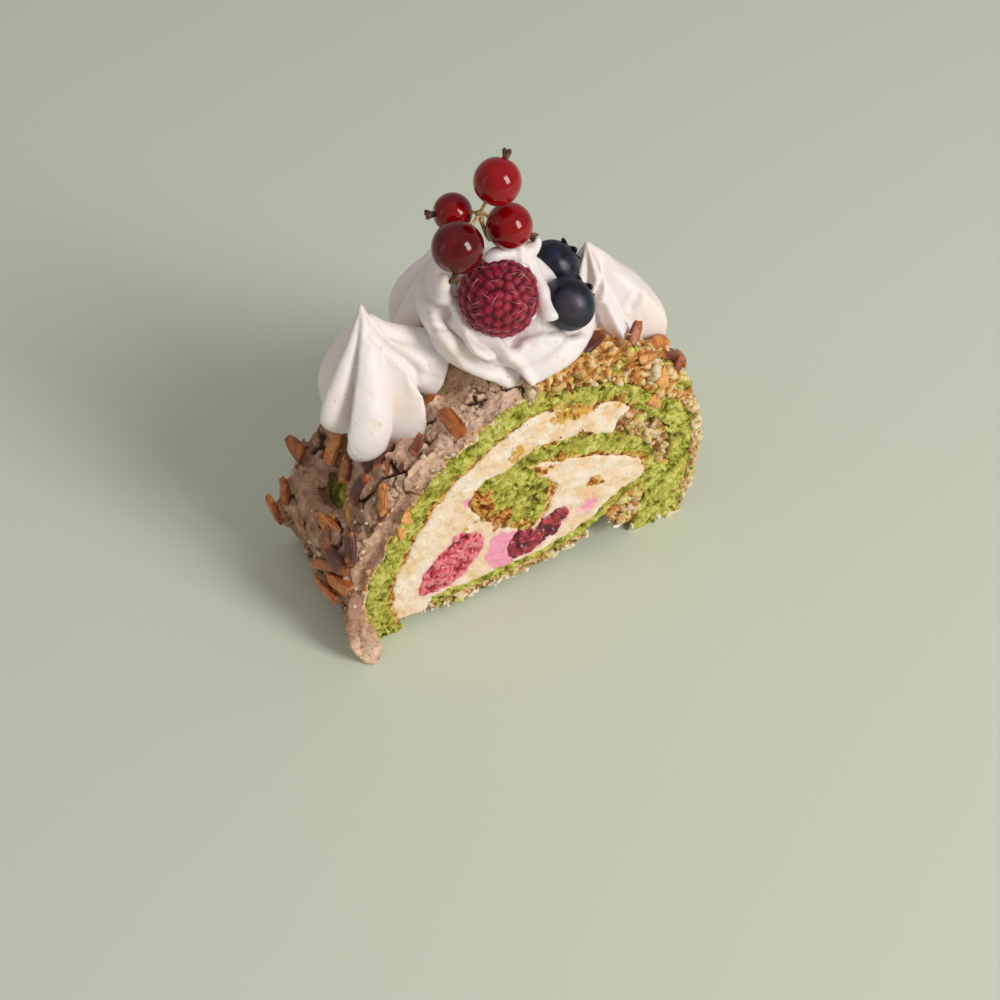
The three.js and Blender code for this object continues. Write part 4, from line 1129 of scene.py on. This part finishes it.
def drop(bm, foot, bend, tip, radius, petals, depth, slim=0):
    """Adds a piped drop, which rises from its foot to its tip and has round petals between deep grooves."""
    rings = []
    for k in range(DROP_RINGS + 1):
        h = math.sin(math.pi / 2 * k / DROP_RINGS)
        swell = math.sin(math.pi * mix(0.24, 0.985, h)) * (1 - 0.35 * h * h) * (1 - slim * h)
        centre = bezier((foot, bend, tip), h)
        ring = []
        for i in range(DROP_SIDES):
            angle = 360 * i / DROP_SIDES
            fullness, hang = petal(angle, h, petals)
            reach = radius * swell * (1 - depth * (1 - fullness))
            turned = math.radians(angle)
            sag = hang * min(1, 2 * fullness) * (1 - h) ** 2
            ring.append(centre + Vector((math.cos(turned) * reach, math.sin(turned) * reach, -sag)))
        rings.append(ring)
    loft(bm, rings)


def rope(bm, path, radius_at, sides, lobes=0):
    """Adds a rope along a path, with its own radius at each place and, if it has lobes, grooves along it."""
    rings = []
    count = len(path)
    for k, centre in enumerate(path):
        s = k / (count - 1)
        way = (path[min(k + 1, count - 1)] - path[max(k - 1, 0)]).normalized()
        side = Vector((0, 0, 1)).cross(way).normalized()
        up = way.cross(side)
        ring = []
        for angle in ring_angles(sides):
            groove = 1 - abs(math.cos(lobes * (angle + ROPE_TWIST * s) / 2)) ** 0.7 if lobes else 0
            reach = radius_at(s) * (1 - ROPE_GROOVE * groove)
            ring.append(centre + side * (reach * math.cos(angle)) + up * (reach * math.sin(angle)))
        rings.append(ring)
    loft(bm, rings)


def ribbon(bm, start, end, radius, height_start, height_end, thickness):
    """Adds a ribbon of cream, grooved along its length, laid round the middle swirl."""
    path = []
    for i in range(RIBBON_STEPS + 1):
        angle = math.radians(mix(start, end, i / RIBBON_STEPS))
        path.append(Vector((RIBBON_CENTRE[0] + radius * math.cos(angle),
                            RIBBON_CENTRE[1] + radius * math.sin(angle),
                            mix(height_start, height_end, i / RIBBON_STEPS))))
    rope(bm, path, lambda s: thickness * math.sin(math.pi * mix(0.05, 0.95, s)) ** 0.6, 60, lobes=5)


def plain_rope(bm, stations):
    """Adds a round rope of cream through stations (u, y, z, radius), closed by round ends."""
    path = smooth_path([station[:3] for station in stations], 25)
    radii = [station[3] for station in stations]

    def radius_at(s):
        place = s * (len(radii) - 1)
        k = min(len(radii) - 2, int(place))
        from_end = min(1, min(s, 1 - s) / ROUND_END)
        return max(0.05, mix(radii[k], radii[k + 1], place - k) * math.sqrt(1 - (1 - from_end) ** 2))

    rope(bm, path, radius_at, 32)


def pressed(net, name):
    """A function that gives how deep the creases of a cream piece are at a place, in mm."""
    surface = BVHTree.FromBMesh(net)
    lines = []
    for piece_name, width, depth, points in CREASES:
        if piece_name != name:
            continue
        path = smooth_path(points, CREASE_STEPS)
        line = KDTree(len(path))
        for number, place in enumerate(path):
            line.insert(on_cut(surface.find_nearest(in_frame(place))[0]), number)
        line.balance()
        lines.append((line, width, depth))

    def crease(p):
        total = 0
        for line, width, depth in lines:
            _, number, distance = line.find(p)
            if distance > 5 * width:
                continue
            fade = min(1, number / 8, (CREASE_STEPS - 1 - number) / 8)
            total -= depth * fade * math.exp(-(distance / width) ** 2)
            total += 0.3 * depth * fade * math.exp(-((distance - 2.4 * width) / width) ** 2)
        return total

    return crease


def relax(bm, factor):
    bmesh.ops.smooth_vert(bm, verts=bm.verts, factor=factor,
                          use_axis_x=True, use_axis_y=True, use_axis_z=True)


def finish_cream(name, bm, net_size, material):
    """Melts the lofted shells into one smooth body with fine bubbles, and makes it a piece."""
    for piece_name, stations in ROPES:
        if piece_name == name:
            plain_rope(bm, stations)
    net = even_net(bm, net_size)
    relax(net, 0.5)
    crease = pressed(net, name)

    def shape(p, n):
        bubble = max(0, 1 - cells(p, 3.1, 61)[0] / 0.13)
        height = 0.2 * cloud(p, 6, 62) + 0.04 * cloud(p, 1.2, 63) - 0.28 * bubble + crease(p)
        smear = sum(max(0, 1 - (p - Vector((u, y, z))).length / reach) for u, y, z, reach in CREAM_SMEARS)
        return height, smear

    sculpt(net, shape, "stain")
    relax(net, 0.4)
    piece(f"piped_{name}", net, material, [f"swirl_{name}"])


def build_piped_cream():
    material = piped_finish()
    for name, numbers in DROPS.items():
        bm = bmesh.new()
        drop(bm, **numbers)
        if name == "centre":
            for one in RIBBONS:
                ribbon(bm, *one)
        finish_cream(name, bm, CENTRE_NET if name == "centre" else CREAM_NET, material)


# ---------- fruit ----------
DRUPELET_SPACING = 2.35
# Rings (radius, height) from the inside bottom up, over the rim and down, with how lobed each is
BLUEBERRY_CROWN = [
    (2, 0.2, 0), (2.5, 0.62, 0.04), (2.95, 0.95, 0.16), (2.8, 1.12, 0.2), (2.2, 0.7, 0.08), (1.7, 0.1, 0),
]
PAINTED_REFLECTION_AT = Vector((-0.35, -0.75, 0.55)).normalized()      # where a pale patch is painted on the lower berry: a painted reflection
CURRANT_FLOWER = [(0.55, -0.7), (0.6, 0.1), (0.75, 0.7), (0.95, 1.2), (0.7, 1.7), (0.25, 1.5)]


def facing(direction):
    """The turn that brings +Z to a direction."""
    return Vector(direction).normalized().to_track_quat("Z", "Y").to_matrix()


def build_raspberry():
    rng = random.Random(21)
    radius = in_mm("raspberry_radius")
    turn = facing(RASPBERRY["towards"])
    centre = Vector(RASPBERRY["at"])
    bm = bmesh.new()
    bm.verts.layers.float.new("relief")
    add_ball(bm, "relief", 4, lambda co: in_frame(centre + co * (radius - 0.9)), lambda co: 0.2)
    tips = []
    rows = round(math.pi * radius * 0.9 / DRUPELET_SPACING)
    for row in range(rows):
        polar = math.pi * 0.9 * row / rows
        count = max(1, round(2 * math.pi * radius * math.sin(polar) / DRUPELET_SPACING))
        for i in range(count):
            lean = polar + rng.uniform(-0.04, 0.04)
            azimuth = 2 * math.pi * (i + 0.5 * row + rng.uniform(-0.12, 0.12)) / count
            direction = turn @ Vector((math.sin(lean) * math.cos(azimuth), math.sin(lean) * math.sin(azimuth),
                                       math.cos(lean)))
            size = Vector((rng.uniform(1.85, 2.15), rng.uniform(1.85, 2.15), rng.uniform(1.8, 2.1)))
            middle = centre + direction * (radius - 2)
            frame_of = facing(direction)

            def shape(co):
                dent = 1 + 0.12 * noise.noise(co * 1.3 + direction * 9)
                return in_frame(middle + frame_of @ (co * size * dent))

            add_ball(bm, "relief", 2, shape, lambda co: co.z)
            if direction.y < 0.6:
                tips.append((middle + direction * 1.95, direction))
    piece("raspberry_whole", bm, raspberry_finish(), ["raspberry"])

    bm = bmesh.new()
    for tip, direction in tips:
        for _ in range(rng.choice((0, 1, 1))):
            hair(bm, tip, direction, rng)
    piece("raspberry_hairs", bm, hair_finish())


def hair(bm, root, direction, rng):
    """Adds one fine dried thread that lies over the berry from a drupelet's tip."""
    sideways = direction.orthogonal().normalized()
    sideways.rotate(Matrix.Rotation(rng.uniform(0, 6.28), 3, direction))
    length = rng.uniform(1.6, 3)
    curl = rng.uniform(-1, 1)
    across = direction.cross(sideways)
    points = []
    for i in range(6):
        s = i / 5
        bend = across * (curl * s * s) + direction * (0.45 * math.sin(2.4 * s) - 0.25 * s)
        points.append(root + sideways * (length * s) + bend)
    rope(bm, points, lambda s: 0.075 * (1 - 0.6 * s), 4)


def build_blueberries():
    finish = blueberry_finish()
    radius = in_mm("blueberry_radius")
    for name, berry in BLUEBERRIES.items():
        turn = facing(berry["crown"])
        centre = Vector(berry["at"])
        bm = bmesh.new()
        bloom = bm.verts.layers.float.new("bloom")
        painted_reflection = bm.verts.layers.float.new("painted_reflection")
        crown = bm.verts.layers.float.new("crown")
        for vertex in bmesh.ops.create_uvsphere(bm, u_segments=48, v_segments=32, radius=1)["verts"]:
            polar = math.acos(max(-1, min(1, vertex.co.z)))
            hollow = 1 - step(0.2, 0.48, polar)
            local = Vector((vertex.co.x, vertex.co.y, vertex.co.z * 0.92))
            local *= radius * (1 + 0.02 * noise.noise(vertex.co * 1.4 + centre)) - 1.3 * hollow
            world = turn @ local
            vertex[bloom] = 0.45 + 0.35 * cloud(world, 5, 71) + 0.09 * world.normalized().z
            # painted reflection: a pale patch on the lower berry, strongest towards that direction
            vertex[painted_reflection] = (name == "lower") * max(0, world.normalized().dot(PAINTED_REFLECTION_AT) * 2.6 - 1.7)
            vertex[crown] = 1 - step(0.3, 0.46, polar)
            vertex.co = in_frame(centre + world)
        rings = []
        for r, z, lobed in BLUEBERRY_CROWN:
            ring = []
            for angle in ring_angles(40):
                reach = r * (1 + lobed * math.cos(5 * angle))
                rise = radius * 0.9 - 1.1 + z * (1 + 1.2 * lobed * math.cos(5 * angle))
                ring.append(centre + turn @ Vector((reach * math.cos(angle), reach * math.sin(angle), rise)))
            rings.append(ring)
        for vertex in loft(bm, rings):
            vertex[crown] = 0.75
            vertex[bloom] = 0.3
        piece(f"blueberry_fruit_{name}", bm, finish, [f"blueberry_{name}"])


def build_currants():
    finish = currant_finish()
    rng = random.Random(33)
    flowers = bmesh.new()
    for name, berry in CURRANTS.items():
        turn = facing(berry["calyx"])
        centre = Vector(berry["at"])
        radius = berry["radius"]
        bm = bmesh.new()
        vein = bm.verts.layers.float.new("vein")
        dark = bm.verts.layers.float.new("dark")
        for vertex in bmesh.ops.create_uvsphere(bm, u_segments=64, v_segments=40, radius=1)["verts"]:
            azimuth = math.atan2(vertex.co.y, vertex.co.x)
            polar = math.acos(max(-1, min(1, vertex.co.z)))
            dimple = 0.35 * (1 - step(0.05, 0.35, polar))
            vertex[vein] = math.cos(5.5 * azimuth) ** 2 * math.sin(polar) ** 0.3
            vertex[dark] = berry["dark"]
            vertex.co = in_frame(centre + turn @ (vertex.co * (radius - dimple)))
        piece(f"currant_fruit_{name}", bm, finish, [f"currant_{name}"])
        dried_flower(flowers, centre, turn, radius, rng)
    piece("currant_flowers", flowers, calyx_finish())


def dried_flower(bm, centre, turn, radius, rng):
    """Adds the withered flower that stays on the end of a currant."""
    seed = rng.uniform(0, 40)
    rings = []
    for r, rise in CURRANT_FLOWER:
        ring = []
        for angle in ring_angles(20):
            around = Vector((math.cos(angle) * 1.8, math.sin(angle) * 1.8, rise + seed))
            rough = 1 + 0.45 * noise.noise(around)
            reach = r * rough * (1 + 0.18 * math.cos(5 * angle))
            height = radius + rise * rough
            ring.append(centre + turn @ Vector((reach * math.cos(angle), reach * math.sin(angle), height)))
        rings.append(ring)
    loft(bm, rings)


def build_stem():
    radius = in_mm("stem_radius")
    bm = bmesh.new()
    node = Vector(STEM_NODE)
    foot = Vector(STEM_FOOT)
    bent = foot.lerp(node, 0.5) + Vector((-0.9, -0.3, 0))
    rope(bm, [bezier((foot, bent, node), i / 12) for i in range(13)],
         lambda s: radius * (1 + 0.12 * math.sin(9 * s) + 0.5 * s ** 6), 10)
    for berry in CURRANTS.values():
        end = Vector(berry["at"])
        way = (end - node).normalized()
        end -= way * (berry["radius"] - 0.6)
        bent = node.lerp(end, 0.5) + Vector((0, 0, 0.7))
        rope(bm, [bezier((node, bent, end), i / 10) for i in range(11)],
             lambda s: radius * (0.95 - 0.3 * math.sin(math.pi * s) + 0.15 * s), 8)
    for vertex in bmesh.ops.create_icosphere(bm, subdivisions=3, radius=1)["verts"]:
        rough = 1 + 0.35 * noise.noise(vertex.co * 2)
        vertex.co = in_frame(node + vertex.co * rough)
    piece("currant_twig", bm, stem_finish(), ["currant_stem"])


# ---------- studio ----------
CAMERA_TARGET = Vector((3.1, 1.6, 7.6)) * MM
CAMERA_DISTANCE = 0.44
CAMERA_AZIMUTH = math.radians(-29.26)
CAMERA_ELEVATION = math.radians(46.78)
CAMERA_LENS = 62.2
# Lights: azimuth and elevation in degrees, distance, width and height in metres, power in watts, colour
LIGHTS = {
    "window": (27, 32, 1.3, 0.42, 0.75, 12, (1, 0.94, 0.92)),
    "sky": (-30, 80, 1.6, 1.2, 1.2, 0.5, (0.97, 0.95, 1)),
    "side": (-100, 16, 1.2, 0.3, 0.7, 0.3, (1, 0.95, 1)),
}
LIT_HEIGHT = 0.05        # the height at which the lights are aimed, in metres
WORLD_COLOUR = srgb(228, 219, 218)
WORLD_STRENGTH = 0.46
FLOOR_HALF = 4           # half the floor's width, in metres


def direction_from(azimuth, elevation):
    """The direction from the cake to a thing at that azimuth and elevation, in radians."""
    return Vector((math.sin(azimuth) * math.cos(elevation), -math.cos(azimuth) * math.cos(elevation),
                   math.sin(elevation)))


def add_light(name, azimuth, elevation, distance, width, height, power, colour):
    light = bpy.data.lights.new(name, "AREA")
    light.shape = "RECTANGLE"
    light.size = width
    light.size_y = height
    light.energy = power
    light.color = colour
    holder = bpy.data.objects.new(name, light)
    bpy.context.scene.collection.objects.link(holder)
    back = direction_from(math.radians(azimuth), math.radians(elevation))
    holder.location = back * distance + Vector((0, 0, LIT_HEIGHT))
    holder.rotation_euler = (-back).to_track_quat("-Z", "Y").to_euler()


def build_stage():
    bm = bmesh.new()
    bmesh.ops.create_grid(bm, x_segments=2, y_segments=2, size=FLOOR_HALF)
    mesh = bpy.data.meshes.new("floor")
    bm.to_mesh(mesh)
    bm.free()
    finish = Finish("floor", Base_Color=(*colours().floor, 1), Roughness=0.7, Specular_IOR_Level=0.3)
    mesh.materials.append(finish.material)
    floor = bpy.data.objects.new("floor", mesh)
    bpy.context.scene.collection.objects.link(floor)

    camera = bpy.data.cameras.new("camera")
    camera.lens = CAMERA_LENS
    camera.clip_start = 0.01
    holder = bpy.data.objects.new("camera", camera)
    bpy.context.scene.collection.objects.link(holder)
    back = direction_from(CAMERA_AZIMUTH, CAMERA_ELEVATION)
    holder.location = CAMERA_TARGET + back * CAMERA_DISTANCE
    holder.rotation_euler = (-back).to_track_quat("-Z", "Y").to_euler()
    bpy.context.scene.camera = holder

    for name, numbers in LIGHTS.items():
        add_light(name, *numbers)
    world = bpy.data.worlds.new("studio")
    world.use_nodes = True
    world.node_tree.nodes["Background"].inputs["Color"].default_value = (*WORLD_COLOUR, 1)
    world.node_tree.nodes["Background"].inputs["Strength"].default_value = WORLD_STRENGTH
    bpy.context.scene.world = world
    bpy.context.scene.view_settings.view_transform = "Standard"


# ---------- operators ----------
class ROLLCAKE_OT_sponge(bpy.types.Operator):
    """Make the porous sponge sheets"""
    bl_idname = "rollcake.sponge"
    bl_label = "Sponge"

    def execute(self, context):
        build_sponge()
        return {"FINISHED"}


class ROLLCAKE_OT_cream(bpy.types.Operator):
    """Make the cream that is rolled up in the sponge"""
    bl_idname = "rollcake.cream"
    bl_label = "Filling cream"

    def execute(self, context):
        build_cream()
        return {"FINISHED"}


class ROLLCAKE_OT_crushed_raspberries(bpy.types.Operator):
    """Make the crushed raspberries at the cut"""
    bl_idname = "rollcake.crushed_raspberries"
    bl_label = "Crushed raspberries"

    def execute(self, context):
        build_mash()
        return {"FINISHED"}


class ROLLCAKE_OT_inner_meringue(bpy.types.Operator):
    """Make the meringue that is rolled in and the layer under the slice"""
    bl_idname = "rollcake.inner_meringue"
    bl_label = "Inner meringue"

    def execute(self, context):
        build_inner_meringue()
        return {"FINISHED"}


class ROLLCAKE_OT_crust(bpy.types.Operator):
    """Make the cracked meringue crust"""
    bl_idname = "rollcake.crust"
    bl_label = "Meringue crust"

    def execute(self, context):
        build_crust()
        return {"FINISHED"}


class ROLLCAKE_OT_almonds(bpy.types.Operator):
    """Lay the almond slivers on the crust"""
    bl_idname = "rollcake.almonds"
    bl_label = "Almonds"

    def execute(self, context):
        build_almonds()
        return {"FINISHED"}


class ROLLCAKE_OT_crumbs(bpy.types.Operator):
    """Scatter crumbs of meringue and sponge"""
    bl_idname = "rollcake.crumbs"
    bl_label = "Crumbs"

    def execute(self, context):
        build_crumbs()
        return {"FINISHED"}


class ROLLCAKE_OT_piped_cream(bpy.types.Operator):
    """Pipe the four swirls of cream"""
    bl_idname = "rollcake.piped_cream"
    bl_label = "Piped cream"

    def execute(self, context):
        build_piped_cream()
        return {"FINISHED"}


class ROLLCAKE_OT_raspberry(bpy.types.Operator):
    """Make the whole raspberry"""
    bl_idname = "rollcake.raspberry"
    bl_label = "Raspberry"

    def execute(self, context):
        build_raspberry()
        return {"FINISHED"}


class ROLLCAKE_OT_blueberries(bpy.types.Operator):
    """Make the two blueberries"""
    bl_idname = "rollcake.blueberries"
    bl_label = "Blueberries"

    def execute(self, context):
        build_blueberries()
        return {"FINISHED"}


class ROLLCAKE_OT_currants(bpy.types.Operator):
    """Make the four red currants and their stem"""
    bl_idname = "rollcake.currants"
    bl_label = "Currants"

    def execute(self, context):
        build_currants()
        build_stem()
        return {"FINISHED"}


class ROLLCAKE_OT_stage(bpy.types.Operator):
    """Set up the floor, the lights and the camera"""
    bl_idname = "rollcake.stage"
    bl_label = "Stage"

    def execute(self, context):
        build_stage()
        return {"FINISHED"}


OPERATORS = [
    ROLLCAKE_OT_sponge, ROLLCAKE_OT_cream, ROLLCAKE_OT_crushed_raspberries, ROLLCAKE_OT_inner_meringue,
    ROLLCAKE_OT_crust, ROLLCAKE_OT_almonds, ROLLCAKE_OT_crumbs, ROLLCAKE_OT_piped_cream,
    ROLLCAKE_OT_raspberry, ROLLCAKE_OT_blueberries, ROLLCAKE_OT_currants, ROLLCAKE_OT_stage,
]


class ROLLCAKE_PT_panel(bpy.types.Panel):
    """The cake's pieces, in the order in which they are made"""
    bl_idname = "ROLLCAKE_PT_panel"
    bl_label = "Roll Cake"
    bl_space_type = "VIEW_3D"
    bl_region_type = "UI"
    bl_category = "Roll Cake"

    def draw(self, context):
        for operator in OPERATORS:
            self.layout.operator(operator.bl_idname)
        for group in (context.scene.roll_cake_sizes, context.scene.roll_cake_colours):
            column = self.layout.column()
            for name in group.bl_rna.properties.keys():
                if name not in ("rna_type", "name"):
                    column.prop(group, name)


CLASSES = [RollCakeColours, RollCakeSizes, *OPERATORS, ROLLCAKE_PT_panel]


def register():
    for one in CLASSES:
        bpy.utils.register_class(one)
    bpy.types.Scene.roll_cake_colours = bpy.props.PointerProperty(type=RollCakeColours)
    bpy.types.Scene.roll_cake_sizes = bpy.props.PointerProperty(type=RollCakeSizes)


def unregister():
    del bpy.types.Scene.roll_cake_sizes
    del bpy.types.Scene.roll_cake_colours
    for one in reversed(CLASSES):
        bpy.utils.unregister_class(one)


def main():
    """Builds the cake and the stage."""
    noise.seed_set(NOISE_SEED)
    register()
    bpy.ops.rollcake.sponge()
    bpy.ops.rollcake.cream()
    bpy.ops.rollcake.crushed_raspberries()
    bpy.ops.rollcake.inner_meringue()
    bpy.ops.rollcake.crust()
    bpy.ops.rollcake.almonds()
    bpy.ops.rollcake.crumbs()
    bpy.ops.rollcake.piped_cream()
    bpy.ops.rollcake.raspberry()
    bpy.ops.rollcake.blueberries()
    bpy.ops.rollcake.currants()
    bpy.ops.rollcake.stage()


if __name__ == "__main__":
    main()
